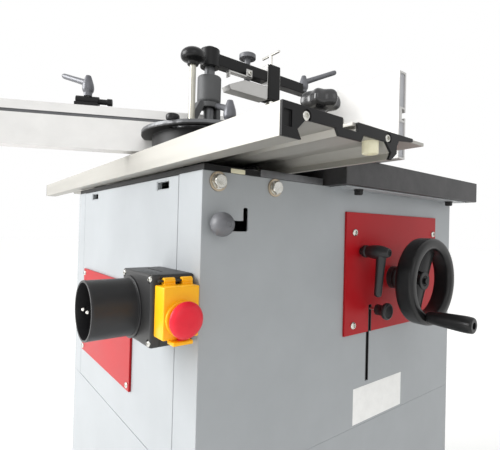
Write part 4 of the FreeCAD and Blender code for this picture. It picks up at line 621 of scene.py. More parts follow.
class MOULDER_OT_materials(bpy.types.Operator):
    """Makes the paints, metals and plastics"""

    bl_idname = "moulder.materials"
    bl_label = "Materials"

    def execute(self, context):
        colours = context.scene.moulder_colours
        self.paints(colours)
        self.castings()
        self.aluminium()
        self.steels()
        self.plastics(colours)
        return {"FINISHED"}

    def paints(self, colours):
        """Powder coats and brushed enamel on sheet and plate."""
        # An even mid grey with a soft sheen and a faint orange peel
        finish("grey_powder_coat", darker(colours.cabinet, 0.91), colours.cabinet, 0.42,
               relief=0.1, grain=PAINT_GRAIN, specular=0.35)
        # A deep red that stays dark where the light doesn't reach
        finish("red_powder_coat", darker(colours.plates, 0.87), colours.plates, 0.36,
               relief=0.1, grain=PAINT_GRAIN, specular=0.2)
        # Near black with a dull sheen along the edges
        finish("black_painted_steel", "0e0e0f", "161617", 0.42,
               relief=0.08, grain=PAINT_GRAIN, specular=0.25)
        # The blue-grey of an electric motor, a little uneven over its casting
        finish("blue_grey_enamel", "3b454f", "46515c", 0.4, relief=0.1, grain=ENAMEL_GRAIN)

    def castings(self):
        """Cast metals with the skin that the mould or the planer left."""
        # Dull grey with sand grain
        finish("rough_cast_iron", "4c4d4e", "5c5d5e", 0.6, metallic=0.3, relief=0.3, grain=SAND_GRAIN)
        # Dark, mottled and smoother, as planed iron looks after oiling
        finish("table_cast_iron", "3a3a3b", "4c4b4c", 0.5, metallic=0.4,
               patch=33.3, relief=0.12, grain=PLANED_GRAIN)
        # Blue-grey zinc casting under a thin satin coat
        finish("die_cast_lever", "5c5d62", "6c6d72", 0.36, metallic=0.3,
               patch=16.7, relief=0.12, grain=PAINT_GRAIN)
        # A painted casting that shows round forms by a broad sheen; also the painted shadow in the beam's
        # groove and the partly painted shade of the guide's cover
        finish("column_grey", "5f6062", "6c6d6f", 0.4, metallic=0.5, patch=12.5, relief=0.1)

    def aluminium(self):
        """Extruded, milled and turned aluminium."""
        # Warm silver with long faint streaks along the extrusion
        finish("anodised_aluminium", "a2a09a", "b1afa9", 0.5, metallic=0.6,
               patch=25, stretch=(0.04, 1, 1), relief=0.05, grain=DRAWN_GRAIN)
        # Almost white where it faces the light
        finish("beam_aluminium", "d9d8d6", "e0dfdd", 0.45, metallic=0.4,
               patch=33.3, relief=0.04, grain=MILLED_GRAIN)
        # The same metal, cut back to a duller silver
        finish("milled_aluminium", "bfbebc", "c9c8c6", 0.45, metallic=0.4,
               patch=33.3, relief=0.04, grain=MILLED_GRAIN)
        # Bright, with the rings of the lathe
        finish("turned_aluminium", "b4b4b4", "c9c9c8", 0.34, metallic=1.0,
               patch=41.7, relief=0.03, marks=TURNING_MARKS)

    def steels(self):
        """Plated and ground steel."""
        # Bright silver with small cloudy spangles
        finish("zinc_plated_steel", "b9b8b2", "d2d1cb", 0.25, metallic=1.0, patch=8.33)
        # The same plating with a straw tint
        finish("yellow_passivated_zinc", "a99b88", "bfb19d", 0.3, metallic=1.0, patch=8.33)
        # A mirror that only mists a little
        finish("chromed_steel", "cfcdc8", "dedcd6", 0.14, metallic=1.0, patch=16.7, spread=0.04)
        # A pale rod with a broad highlight along it
        finish("satin_steel", "a6a49a", "b8b6ab", 0.36, metallic=0.7, patch=16.7)
        # Grey steel with fine grinding marks
        finish("ground_steel", "8d8e8f", "a9aaab", 0.3, metallic=1.0,
               patch=41.7, relief=0.03, marks=GRINDING_MARKS)

    def plastics(self, colours):
        """Moulded plastics, rubber and the sticker's film."""
        # Black with a matt moulded skin
        finish("black_moulded_plastic", "131315", "1b1b1d", 0.42,
               patch=33.3, relief=0.14, grain=MOULD_GRAIN)
        # Black and smooth, with clear highlights on the rim of the wheel
        finish("black_phenolic", "131314", "1b1b1c", 0.3, patch=33.3, relief=0.05, specular=0.3)
        # Black with strong gloss on every lobe
        finish("glossy_thermoset", "18181a", "212123", 0.24, patch=33.3, relief=0.05, specular=0.7)
        # Charcoal with a matt moulded skin
        finish("grey_moulded_plastic", "212122", "2a2a2a", 0.45, patch=33.3, relief=0.14, grain=MOULD_GRAIN)
        # Mid grey with a soft sheen, as on a ball
        finish("dark_grey_plastic", "5c5d61", "696a6e", 0.42, patch=33.3, relief=0.1)
        # Pale grey and matt
        finish("light_grey_plastic", "a8a9ad", "b2b3b7", 0.5, patch=25)
        # Ivory with a waxy look
        finish("cream_nylon", "ddd8b8", "e6e2c8", 0.5, patch=11.1, relief=0.05)
        # Black without gloss
        finish("belt_rubber", "0e0e0e", "161616", 0.75, patch=16.7, relief=0.3)
        # A warm full yellow with a smooth sheen
        finish("yellow_abs", darker(colours.lid, 0.93), colours.lid, 0.34,
               patch=33.3, relief=0.05, specular=0.35)
        # A bright signal red with a smooth sheen
        finish("red_abs", darker(colours.stop, 0.88), colours.stop, 0.36,
               patch=25, relief=0.05, specular=0.35)
        # A full green with a smooth sheen
        finish("green_abs", "137a36", "18893f", 0.36, patch=25, relief=0.05)
        # Even white film
        finish("white_sticker", "e9e9e7", "f2f2f0", 0.4, patch=16.7, relief=0.02)


PLATE_SHEET = 4


class MOULDER_OT_cabinet(bpy.types.Operator):
    """Makes the stand, the cabinet, the panel and the red plates with their screws"""

    bl_idname = "moulder.cabinet"
    bl_label = "Cabinet"

    def execute(self, context):
        edge = size_of("sheet_edge")
        for node in ("base_stand", "front_panel"):
            soft_copy(node, "grey_powder_coat", edge)
        self.shell(edge)
        self.hook_folds()
        soft_copy("front_plate", "red_powder_coat", edge / 2)
        self.control_plate(edge / 2)
        self.front_plate_screws()
        self.sticker()
        self.flanges()
        self.slit_lips()
        return {"FINISHED"}

    def shell(self, edge):
        """The cabinet, whose slot for the ball knob becomes a longer L with rounded ends."""
        knob = middle_of("ball_knob")
        face = box_of("cabinet_shell")[1].x
        wall, past, end_rounding, refill = 3, 8, 2.6, 32
        start, end, leg = knob.y - 5.5, knob.y + 51, 7.4
        bottom, shoulder, top = knob.z - 8, knob.z + 5.5, knob.z + 23
        filler = soft_block(
            "slot_filler", (face - wall, knob.y + refill, shoulder - 1), (face, end, top + 1))
        inside, outside = face - wall - past, face + past
        foot = soft_block("slot_foot", (inside, start, bottom), (outside, end, shoulder), end_rounding)
        rise = soft_block("slot_rise", (inside, end - leg, bottom), (outside, end, top), end_rounding)
        soft_copy("cabinet_shell", "grey_powder_coat", edge, cutters=(foot, rise), fillers=(filler,))

    def hook_folds(self):
        """The folded-in edges of the two hook slots of the front panel."""
        low, high = box_of("front_panel")
        slots = (high.x - 48.4, low.x + 71.5)
        width, height, below_edge = 40, 13, 4
        sheet, start, depth = 1.2, 1, 8
        top = high.z - below_edge
        bottom = top - height
        folds = []
        for middle in slots:
            left, right = middle - width / 2, middle + width / 2
            for corner, opposite in (
                    ((left, bottom), (left + sheet, top)), ((right - sheet, bottom), (right, top)),
                    ((left, top - sheet), (right, top)), ((left, bottom), (right, bottom + sheet))):
                folds.append(soft_block(
                    "hook_fold", (corner[0], low.y + start, corner[1]),
                    (opposite[0], low.y + depth, opposite[1])))
        settle(joined("hook_slot_folds", *folds), "grey_powder_coat", "front_panel")

    def control_plate(self, edge):
        """The red plate on the right, its black raised parts and its screws."""
        plate = soft_copy("control_plate", "red_powder_coat", edge)
        low, high = box_of("control_plate")
        face = low.x + PLATE_SHEET
        second_material(plate, "black_moulded_plastic", lambda spot: spot.x > face + 0.1)
        near, far, bottom, top = low.y + 21.7, high.y - 11.9, low.z + 15.7, high.z - 33.6
        places = [((face, y, z), RIGHTWARD) for y in (near, far) for z in (bottom, top)]
        screw = button_screw(size_of("plate_screw"), height=3.4)
        fasteners("control_plate_screws", screw, places, "zinc_plated_steel", "control_plate")

    def front_plate_screws(self):
        """A smaller screw in each corner of the front plate."""
        low, high = box_of("front_plate")
        inset = 9
        columns, rows = (low.x + inset, high.x - inset), (low.z + inset, high.z - inset)
        places = [((x, low.y, z), FORWARD) for x in columns for z in rows]
        screw = button_screw(size_of("plate_screw") * 0.8, height=2.6)
        fasteners("front_plate_screws", screw, places, "zinc_plated_steel", "front_plate")

    def sticker(self):
        """A bare sticker low on the right side."""
        low, high = box_of("cabinet_shell")
        width, height, sunk, proud = 145, 60.6, 0.2, 0.3
        start, bottom = low.y + 302.5, low.z + 4
        label = soft_block(
            "blank_sticker", (high.x - sunk, start, bottom),
            (high.x + proud, start + width, bottom + height), edge=0.1)
        settle(label, "white_sticker", "cabinet_shell")

    def flanges(self):
        """The bent top edges of the cabinet under the table's overhang, with their levelling bolts."""
        _, high = box_of("cabinet_shell")
        reach, sheet, gap = 32, 2, 0.2
        front = box_of("main_table")[0].y + 10
        bolt_reach, bolt_rows = 17, (front + 50, high.y - 42.5)
        top = high.z - gap
        bottom = top - sheet
        places = []
        for name, face, way in two_sides("cabinet_shell"):
            flange = soft_block(
                f"cabinet_flange_{name}", (face - way, front, bottom),
                (face + way * reach, high.y, top), edge=0.5)
            settle(flange, "grey_powder_coat", "cabinet_shell")
            places += [((face + way * bolt_reach, y, bottom), -UP) for y in bolt_rows]
        bolt = hex_bolt(washer_radius=7.5, washer=1.6, across=12, head=7.5)
        fasteners("levelling_bolts", bolt, places, "black_painted_steel", "cabinet_shell")

    def slit_lips(self):
        """Black edge trim on both sides of the slit of the spindle lock."""
        plate, _ = box_of("control_plate")
        middle = middle_of("spindle_lock_pin").y
        bottom, top = plate.z - 86, plate.z + 46
        inner, outer, behind, proud = 2.7, 4.4, 3, 0.15
        stretches = ((bottom, plate.z, plate.x), (plate.z - 0.1, top, plate.x + PLATE_SHEET))
        lips = [
            soft_block(
                "slit_lip", (plate.x - behind, middle + way * inner, lower),
                (face + proud, middle + way * outer, upper), edge=0.2)
            for way in (-1, 1) for lower, upper, face in stretches]
        settle(joined("slit_lips", *lips), "black_moulded_plastic", "cabinet_shell")


class MOULDER_OT_bolts(bpy.types.Operator):
    """Makes the hexagon bolts that hold the slide guide"""

    bl_idname = "moulder.bolts"
    bl_label = "Bolts"

    def execute(self, context):
        low, high = box_of("frame_bolts")
        radius = (high.z - low.z) / 2
        z = (low.z + high.z) / 2
        places = [
            ((face, y, z), RIGHTWARD * way) for y in (low.y + radius, high.y - radius)
            for _, face, way in two_sides("cabinet_shell")]
        sheet, hole = 2.2, 9
        washer = lathe("washer", [
            (0, 0), (radius, 0), (radius, sheet, 0.5), (hole, sheet, 0.3), (hole, 0)])
        fasteners(
            "frame_bolt_washers", washer, places, "yellow_passivated_zinc", "frame_bolts", "frame_bolts")
        bolt = hex_bolt(washer_radius=9.6, washer=sheet + 0.4, across=17, head=6)
        fasteners("frame_bolt_heads", bolt, places, "zinc_plated_steel", "frame_bolts")
        return {"FINISHED"}


class MOULDER_OT_tables(bpy.types.Operator):
    """Makes the cast table, the roller guide and the sliding table with its caps"""

    bl_idname = "moulder.tables"
    bl_label = "Tables"

    def execute(self, context):
        soft_copy("main_table", "table_cast_iron", size_of("casting_edge"))
        soft_copy("table_rings", "ground_steel", edge=0.4)
        self.guide()
        for number in range(1, 5):
            soft_copy(f"guide_roller_{number}", "ground_steel", edge=0.3)
        soft_copy("sliding_table", "anodised_aluminium", size_of("extrusion_edge"))
        self.end_caps()
        self.bumpers()
        return {"FINISHED"}

    def guide(self):
        """The guide plate in black, with a dark grey cover on its rear end and a pale pad near its front
        corner; the plate's black and the cover's dark grey are partly painted shade under the slide.
        """
        # Black paint, partly as painted shade in the gap between the slide and the cabinet
        soft_copy("guide_base", "black_painted_steel", edge=0.6)
        low, high = box_of("guide_base")
        cover_start, cover_top, proud = low.y + 88.5, low.z + 10, 0.4
        pad_start, pad_end, pad_top, pad_depth = low.y + 39.5, low.y + 62.5, low.z + 6.2, 14
        bottom = low.z + 0.1
        for name, face, way in two_sides("guide_base"):
            front = face + way * proud
            cover = soft_block(
                f"guide_cover_{name}", (face - way, cover_start, bottom),
                (front, high.y, cover_top), edge=0.2)
            # The cover's dark grey, darker than the cabinet's paint, is partly painted shade under the slide
            settle(cover, "column_grey", "guide_base")
            pad = soft_block(
                f"guide_pad_{name}", (face - way * pad_depth, pad_start, bottom),
                (front, pad_end, pad_top), edge=0.8)
            settle(pad, "cream_nylon", "guide_base")

    def end_caps(self):
        """The caps on the extrusion's ends, with a finger pocket and two sunk screws each."""
        low, high = box_of("table_end_caps")
        pocket_low, pocket_high = (low.y + 2, low.z + 9), (low.y + 12, high.z - 7)
        pocket, recess, sink, past = 2.2, 5.4, 2.6, 1
        screws = ((30.5, 23), (159.5, 23.6))
        cutters = []
        places = []
        for _, face, way in reversed(two_sides("table_end_caps")):
            cutters.append(soft_block(
                "cap_pocket", (face + way * past, *pocket_low), (face - way * pocket, *pocket_high)))
            outward = RIGHTWARD * way
            for inset, rise in screws:
                floor = (face - way * sink, low.y + inset, low.z + rise)
                places.append((floor, outward))
                cutters.append(cylinder("screw_recess", recess, sink + past, floor, outward, 32))
        soft_copy("table_end_caps", "black_painted_steel", edge=0.4, cutters=cutters)
        screw = button_screw(radius=5, height=sink)
        fasteners("end_cap_screws", screw, places, "zinc_plated_steel", "table_end_caps")

    def bumpers(self):
        """The nylon stops under the slide, with a hollow foot."""
        low, high = box_of("table_bumpers")
        radius = (high.y - low.y) / 2
        height = high.z - low.z
        hollow = 3
        bumper = lathe("bumper", [
            (0, height), (radius, height), (radius, 0, 1.5), (radius * 0.4, 0, 0.4), (radius * 0.36, hollow),
            (0, hollow)])
        y = (low.y + high.y) / 2
        places = [((x, y, low.z), UP) for x in (low.x + radius, high.x - radius)]
        fasteners("table_bumpers_finished", bumper, places, "cream_nylon", "table_bumpers", "table_bumpers")


class MOULDER_OT_star_knob(bpy.types.Operator):
    """Makes the lobed knob in the table's slot"""

    bl_idname = "moulder.star_knob"
    bl_label = "Star knob"

    def execute(self, context):
        place, axis = axis_of("star_turn")
        low, high = box_of("star_knob")
        lobes = settings().star_lobes
        reach = (high.x - low.x) / 2
        valley, ridge = 0.77, 0.4

        def lobed(angle):
            scoop = math.hypot(math.sin(lobes * angle / 2), ridge)
            return 1 - (1 - valley) * (scoop - ridge) / (math.hypot(1, ridge) - ridge)

        height = high.z - low.z
        thread, washer, stem, head, dimple = 6.2, 10, 5.6, 18, 1.2
        under = height - head
        knob = lathe("star_knob_finished", [
            (0, 0), (thread, 0), (thread, 4.8), (washer, 5.2, 0.5), (washer, 8, 0.8), (stem, 9, 1),
            (stem, under - 2, 2), (9, under, 1), (reach * 0.8, under, 1, True),
            (reach, under + 3.5, 3, True), (reach, height - 6, 5, True), (reach * 0.76, height, 5, True),
            (6.5, height, 1), (6, height - dimple), (0, height - dimple)],
            (place.x, place.y, low.z), axis, 144, lobed)
        stand_in(knob, "glossy_thermoset", "star_knob")
        return {"FINISHED"}


class MOULDER_OT_mitre(bpy.types.Operator):
    """Makes the mitre head, its beam, levers, knob and flip stop"""

    bl_idname = "moulder.mitre"
    bl_label = "Mitre"

    def execute(self, context):
        deck = box_of("mitre_head")[1].z
        self.head(deck)
        self.beam()
        soft_copy("clamp_foot", "rough_cast_iron", size_of("casting_edge"))
        self.foot_boss()
        soft_copy("flip_stop", "black_painted_steel", edge=0.6)
        clamping_lever("mitre_lock_lever", "mitre_lock_turn")
        clamping_lever("flip_stop_lever", "stop_lever_turn")
        self.tall_knob()
        self.index_knob(deck)
        return {"FINISHED"}

    def head(self, deck):
        """The round head, with a bare rim round its deck."""
        head = soft_copy("mitre_head", "black_painted_steel", edge=0.8)
        rim = 4.6
        underside = deck - rim
        split_level(head, underside)
        second_material(head, "column_grey", lambda spot: underside < spot.z < deck - 0.1)

    def beam(self):
        """The pale extrusion, with a band of painted shadow along its groove."""
        beam = soft_copy("mitre_beam", "beam_aluminium", size_of("extrusion_edge"))
        below_top, half_width = 16, 2.3
        groove = box_of("mitre_beam")[1].z - below_top
        # Painted shadow: a dark grey band either side of the groove, for the shade the upper part casts on
        # the lower
        second_material(beam, "column_grey", lambda spot: abs(spot.z - groove) < half_width)

    def foot_boss(self):
        """The stout round casting that holds the clamp's column."""
        low, high = box_of("clamp_column")
        column = (low + high) / 2
        bore = (high.x - low.x) / 2 + 0.3
        height, radius = 41, 18.4
        boss = lathe("clamp_foot_boss", [
            (bore, 0), (radius - 2, 0, 1), (radius, 3, 2), (radius, height, 2.6), (bore, height + 0.2),
            (bore, 0)], (column.x, column.y, box_of("clamp_foot")[1].z - height))
        settle(boss, "rough_cast_iron", "clamp_foot")

    def index_knob(self, deck):
        """The small knob of the angle stop near the rim of the head."""
        pivot, _ = axis_of("mitre_swivel")
        to_right, to_front, sunk = 47.5, 84, 0.2
        knob = lathe("mitre_index_knob", [
            (0, -sunk), (8.5, -sunk, 0.5), (9.5, 4, 2), (8, 8, 3), (0, 9)],
            (pivot.x + to_right, pivot.y - to_front, deck))
        settle(knob, "black_phenolic", "mitre_head")

    def tall_knob(self):
        """The knob on a long rod that clamps the mitre."""
        place, axis = axis_of("tall_knob_turn")
        low, high = box_of("mitre_knob")
        foot = (place.x, place.y, low.z)
        height = high.z - low.z
        radius = (high.x - low.x) / 2
        rod, collar, cap_height = 4.7, 6, 21
        under = height - cap_height
        rod_piece = lathe("mitre_knob_rod", [
            (0, 0), (rod * 1.5, 0, 0.4), (rod * 1.5, collar, 0.5), (rod, collar + 0.2), (rod, under + 2),
            (0, under + 2)], foot, axis)
        stand_in(rod_piece, "satin_steel", "mitre_knob")
        cap = lathe("mitre_knob_cap", [
            (rod * 1.1, under - 4), (rod * 1.7, under - 4, 0.5), (rod * 1.9, under, 1.5),
            (radius * 0.92, under + 4, 2), (radius, under + 8, 3), (radius * 0.94, under + 15, 4),
            (radius * 0.5, height, 5), (0, height)], foot, axis)
        settle(cap, "black_phenolic", "mitre_knob")


class MOULDER_OT_clamp(bpy.types.Operator):
    """Makes the work clamp on the mitre head"""

    bl_idname = "moulder.clamp"
    bl_label = "Work clamp"

    def execute(self, context):
        self.column()
        soft_copy("clamp_arm", "black_painted_steel", edge=1)
        self.block()
        shoe = soft_copy("pressure_shoe", "milled_aluminium", edge=0.6)
        below_arm = 8
        sleeve = box_of("clamp_arm")[0].z - below_arm
        second_material(shoe, "dark_grey_plastic", lambda spot: spot.z > sleeve)
        soft_copy("clamp_screw", "chromed_steel", edge=0.3)
        self.bracket()
        clamping_lever("clamp_lever", "clamp_handle_turn")
        return {"FINISHED"}

    def column(self):
        """The round post, with a groove near its top."""
        low, high = box_of("clamp_column")
        middle = (low + high) / 2
        radius = (high.x - low.x) / 2
        height = high.z - low.z
        groove = radius * 0.94
        column = lathe("clamp_column_finished", [
            (0, 0), (radius, 0, 0.6), (radius, height - 14), (groove, height - 13), (groove, height - 11),
            (radius, height - 10), (radius, height, 1.4), (0, height)], (middle.x, middle.y, low.z))
        stand_in(column, "column_grey", "clamp_column")

    def block(self):
        """The block on the arm's end, between two thin plates."""
        soft_copy("clamp_block", "black_painted_steel", edge=0.8)
        low, high = box_of("clamp_block")
        sheet, side, rim = 0.9, 3, 1
        for name, start in (("front", low.y - sheet), ("back", high.y)):
            plate = soft_block(
                f"clamp_block_{name}_plate", (low.x + side, start, low.z + rim),
                (high.x - side, start + sheet, high.z - rim), edge=0.3)
            settle(plate, "milled_aluminium", "clamp_block")

    def bracket(self):
        """The sheet under the arm that steadies the shoe's stem, with its screw."""
        low, high = box_of("clamp_arm")
        shoe, _ = box_of("pressure_shoe")
        start, end, sheet, edge = shoe.y - 4, shoe.y + 42, 2.5, 0.5
        inner, outer, bottom = high.x - 7.5, high.x + 1, low.z - sheet
        lip_drop, ear_width, ear_rise = 10, 12, 11
        plate = soft_block("clamp_bracket_plate", (inner, start, bottom), (outer, end, low.z), edge)
        lip = soft_block(
            "clamp_bracket_lip", (inner, start, low.z - lip_drop), (outer, start + sheet, low.z - 0.5), edge)
        ear = soft_block(
            "clamp_bracket_ear", (high.x - 0.5, end - ear_width, bottom),
            (outer, end, low.z + ear_rise), edge)
        settle(joined("clamp_bracket", plate, lip, ear), "milled_aluminium", "clamp_arm")
        place = (outer, end - ear_width / 2, low.z + 5)
        screw = button_screw(radius=4, height=3)
        fasteners("clamp_bracket_screw", screw, [(place, RIGHTWARD)], "zinc_plated_steel", "clamp_arm")


class MOULDER_OT_switch(bpy.types.Operator):
    """Makes the switch box, the mains inlet, the emergency lid and its buttons"""

    bl_idname = "moulder.switch"
    bl_label = "Switch"

    def execute(self, context):
        self.box()
        self.inlet()
        self.lid()
        soft_copy("start_button", "green_abs", edge=0.5)
        return {"FINISHED"}

    def box(self):
        """The housing with its seam, slot and wells, the lid's hinge and the corner screws."""
        low, high = box_of("switch_box")
        lid_low, lid_high = box_of("emergency_lid")
        gap, height = 0.5, 85
        right, top = lid_low.x - gap, low.z + height
        seam, groove, depth, past = low.y + 11, 0.8, 0.9, 5
        ring = soft_block(
            "seam_outside", (low.x - past, seam, low.z - past), (right + past, seam + groove, top + past))
        core = soft_block(
            "seam_inside", (low.x + depth, seam - 1, low.z + depth),
            (right - depth, seam + groove + 1, top - depth))
        combine(ring, "DIFFERENCE", core)
        inset, recess, sink = 5.5, 4.8, 2.4
        corners = [(x, z) for x in (low.x + inset, right - inset) for z in (low.z + inset, top - inset)]
        wells = [
            cylinder("corner_well", recess, sink + 1, (x, low.y - 1, z), -FORWARD) for x, z in corners]
        slot_start, slot_end, slot_front, slot_width, slot_depth = 20, 62, seam + 14, 3, 1.5
        slot = soft_block(
            "top_slot", (low.x + slot_start, slot_front, top - slot_depth),
            (low.x + slot_end, slot_front + slot_width, top + 1))
        housing = soft_block("switch_housing", low, (right, high.y, top), edge=3)
        combine(housing, "DIFFERENCE", ring, slot, self.button_well(right), *wells)
        box = joined("switch_box_finished", housing, *self.hinge(right, lid_high.y))
        stand_in(box, "grey_moulded_plastic", "switch_box")
        places = [((x, low.y + sink, z), FORWARD) for x, z in corners]
        screw = button_screw(radius=4.2, height=3.6)
        fasteners("switch_box_screws", screw, places, "zinc_plated_steel", "switch_box")

    def hinge(self, right, lid_end):
        """The pin that the lid turns on and the lug that holds it."""
        hinge, _ = axis_of("lid_hinge")
        radius = 1.6
        half = lid_end - hinge.y - radius
        pin = lathe("hinge_pin", [
            (0, -half), (radius, -half, 0.3), (radius, half, 0.3), (0, half)], hinge, -FORWARD, 24)
        lug_start, lug_end = hinge.y + 1, hinge.y + 7
        lug = soft_block(
            "hinge_lug", (right - 1, lug_start, hinge.z - radius),
            (hinge.x + radius, lug_end, hinge.z + radius), edge=0.4)
        return pin, lug

    def button_well(self, right):
        """What is taken out of the housing for the start button."""
        low, high = box_of("start_button")
        middle = (low + high) / 2
        play, behind = 0.2, 3.5
        reach = (high.z - low.z) / 2 + play
        start = low.x - behind
        return cylinder("button_well", reach, right - start + 1, (start, middle.y, middle.z), RIGHTWARD)

    def inlet(self):
        """The round cup of the mains inlet and its two pins with bare tips."""
        low, high = box_of("inlet_collar")
        length = high.y - low.y
        radius = (high.x - low.x) / 2
        flange, body, inner = radius + 3, radius - 0.2, radius - 2.6
        floor, socket, socket_floor = 6, 12, 5.2
        cup = lathe("inlet_collar_finished", [
            (0, 0), (flange, 0), (flange, 2.4, 1), (body, 2.6, 0.5), (body, length - 4),
            (radius, length - 3.5), (radius, length, 0.8), (inner, length, 0.6), (inner, floor, 1),
            (socket, floor), (socket - 0.4, socket_floor), (0, socket_floor)],
            ((low.x + high.x) / 2, high.y, (low.z + high.z) / 2), FORWARD, 96)
        stand_in(cup, "black_moulded_plastic", "inlet_collar")
        low, high = box_of("inlet_pins")
        radius = (high.z - low.z) / 2
        longer = 3
        length = high.y - low.y + longer
        bare = length * 0.9
        pin = lathe("inlet_pin", [
            (0, 0), (radius, 0), (radius, bare), (radius, length * 0.96, 1), (radius * 0.4, length, 0.6),
            (0, length)], segments=36)
        z = (low.z + high.z) / 2
        places = [((x, high.y, z), FORWARD) for x in (low.x + radius, high.x - radius)]
        pins = fasteners(
            "inlet_pins_finished", pin, places, "black_moulded_plastic", "inlet_pins", "inlet_pins")
        second_material(pins, "chromed_steel", lambda spot: spot.y < high.y - bare)

    def lid(self):
        """The lid with its boss, tab and latch, and the stop mushroom on it."""
        low, high = box_of("emergency_lid")
        mushroom_low, mushroom_high = box_of("stop_mushroom")
        centre = (mushroom_low + mushroom_high) / 2
        radius = (mushroom_high.y - mushroom_low.y) / 2
        self.lid_shell(centre)
        hole, sunk, boss_height = 9, 0.3, 3.4
        boss = lathe("lid_boss", [
            (hole, -sunk), (radius - 0.4, -sunk), (radius - 0.6, 2.6, 1), (radius - 3, boss_height, 1),
            (hole, boss_height), (hole, -sunk)], (high.x, centre.y, centre.z), RIGHTWARD, 96)
        hem = Vector((high.x, centre.y, low.z))
        tab = soft_block("lid_tab", hem + Vector((-9, -13, -6)), hem + Vector((7, 12, -1.4)), edge=1.2)
        neck = soft_block("lid_neck", hem + Vector((-8, -11, -2)), hem + Vector((-2, 10, 0.6)), edge=0.4)
        latch = soft_block("lid_latch", hem + Vector((-2.5, -5, -1.6)), hem + Vector((4, 7, 6)), edge=0.7)
        settle(joined("lid_boss_and_tab", boss, tab, neck), "yellow_abs", "emergency_lid")
        settle(latch, "red_abs", "emergency_lid")
        stem, cap_height, longer = 8, 11, 3
        length = mushroom_high.x - mushroom_low.x + longer
        cap = length - cap_height
        mushroom = lathe("stop_mushroom_finished", [
            (0, 0), (stem, 0, 0.4), (stem, cap, 0.5), (radius - 1.5, cap, 0.8), (radius, cap + 1.6, 1),
            (radius, cap + 3.4, 1.6), (radius * 0.82, length - 2.6, 5), (radius * 0.42, length, 5),
            (0, length)],
            (mushroom_low.x, centre.y, centre.z), RIGHTWARD, 96)
        stand_in(mushroom, "red_abs", "stop_mushroom")

    def lid_shell(self, stem):
        """A hollow cover with two ears on the hinge pin, the front one nearer the middle."""
        low, high = box_of("emergency_lid")
        hinge, _ = axis_of("lid_hinge")
        wall, past, ear, rise = 2, 5, 14, 4.5
        radius, bore, hole = high.z - hinge.z, 1.75, 8.1
        top = hinge.z - rise
        cover = soft_block("lid_cover", low, (high.x, high.y, top), edge=1.4)
        hollow = soft_block(
            "lid_hollow", (low.x - past, low.y + wall, low.z + wall),
            (high.x - wall, high.y - wall, top - wall), edge=0.6)
        opening = cylinder("stem_opening", hole, 2 * past, (high.x - past, stem.y, stem.z), RIGHTWARD)
        combine(cover, "DIFFERENCE", hollow, opening)
        inset = 8
        ears = []
        for start in (low.y + inset, high.y - ear):
            ears.append(lathe("lid_barrel", [
                (bore, 0), (radius, 0, 0.8), (radius, ear, 0.8), (bore, ear), (bore, 0)],
                (hinge.x, start, hinge.z), -FORWARD, 48))
            ears.append(soft_block(
                "lid_ear_foot", (hinge.x - radius, start, top - 1),
                (hinge.x + radius, start + ear, hinge.z - bore - 0.2), edge=0.4))
        stand_in(joined("emergency_lid_finished", cover, *ears), "yellow_abs", "emergency_lid")


class MOULDER_OT_handwheel(bpy.types.Operator):
    """Makes the dished handwheel and its revolving handle"""

    bl_idname = "moulder.handwheel"
    bl_label = "Handwheel"

    def execute(self, context):
        place, _ = axis_of("wheel_turn")
        low, high = box_of("handwheel")
        centre = Vector((low.x, place.y, place.z))
        depth = high.x - low.x
        radius = (high.y - low.y) / 2
        rim_depth, rim_width, rim_middle = 31, 19, radius - 10
        back, inner = depth - rim_depth, radius - rim_width
        rim = lathe("wheel_rim", [
            (rim_middle, back), (radius, back, 7), (radius, depth, 7), (inner, depth, 8), (inner, back, 8),
            (rim_middle, back)], centre, RIGHTWARD, 128)
        hub_length = 52
        seat = hub_length - 2
        hub = lathe("wheel_hub", [
            (0, 0), (20, 0, 0.8), (20, 5, 1), (18.5, 6, 1), (17, 20, 6), (16, hub_length, 2),
            (9, hub_length, 0.5), (8.6, seat), (0, seat)], centre, RIGHTWARD, 96)
        spokes = self.spokes(centre, inner)
        stand_in(joined("handwheel_finished", rim, hub, *spokes), "black_phenolic", "handwheel")
        screw = hex_bolt(washer_radius=8, washer=1.6, across=10, head=4)
        fasteners(
            "handwheel_screw", screw, [(centre + RIGHTWARD * seat, RIGHTWARD)], "black_painted_steel",
            "handwheel")
        dress("ground_steel", "handwheel_shaft")
        self.handle()
        return {"FINISHED"}

    def spokes(self, centre, rim):
        """Flat spokes from the hub into the rim, the first towards the handle."""
        start, end, depth, lean = 12, rim + 3, 44, 3
        grip, _ = axis_of("grip_turn")
        towards_grip = Vector((0, grip.y - centre.y, grip.z - centre.z)).normalized()
        count = settings().wheel_spokes
        spokes = []
        for number in range(count):
            across = Matrix.Rotation(2 * math.pi * number / count, 3, "X") @ towards_grip
            stations = []
            for share, half_width, half_height in (
                    (0.0, 18, 7), (0.25, 17, 6.2), (0.5, 16.4, 5.6), (0.75, 16, 5.4), (1.0, 17, 5.8)):
                reach = start + share * (end - start)
                spot = centre + across * reach + RIGHTWARD * (depth + share * lean)
                stations.append((spot, half_width, half_height))
            spokes.append(sweep(f"wheel_spoke_{number}", stations, RIGHTWARD.cross(across)))
        return spokes

    def handle(self):
        """The tapered handle on its pin, with a bored end."""
        place, axis = axis_of("grip_turn")
        low, high = box_of("handwheel_handle")
        face = box_of("handwheel")[1].x
        foot, length = low.x - face, high.x - face
        end = (high.y - low.y) / 2
        pin, gap, bore, bore_depth = 4, 0.4, 5.2, 4
        handle = lathe("handwheel_handle_finished", [
            (0, foot), (pin, foot, 0.4), (pin, gap), (7.6, gap, 0.6), (10, 4, 2), (11.4, length * 0.33, 8),
            (end, length * 0.84, 12), (end * 0.93, length - 1.5, 2), (end * 0.8, length, 1),
            (bore + 0.3, length, 0.4), (bore, length - bore_depth), (0, length - bore_depth)],
            (face, place.y, place.z), axis, 96)
        stand_in(handle, "black_phenolic", "handwheel_handle")


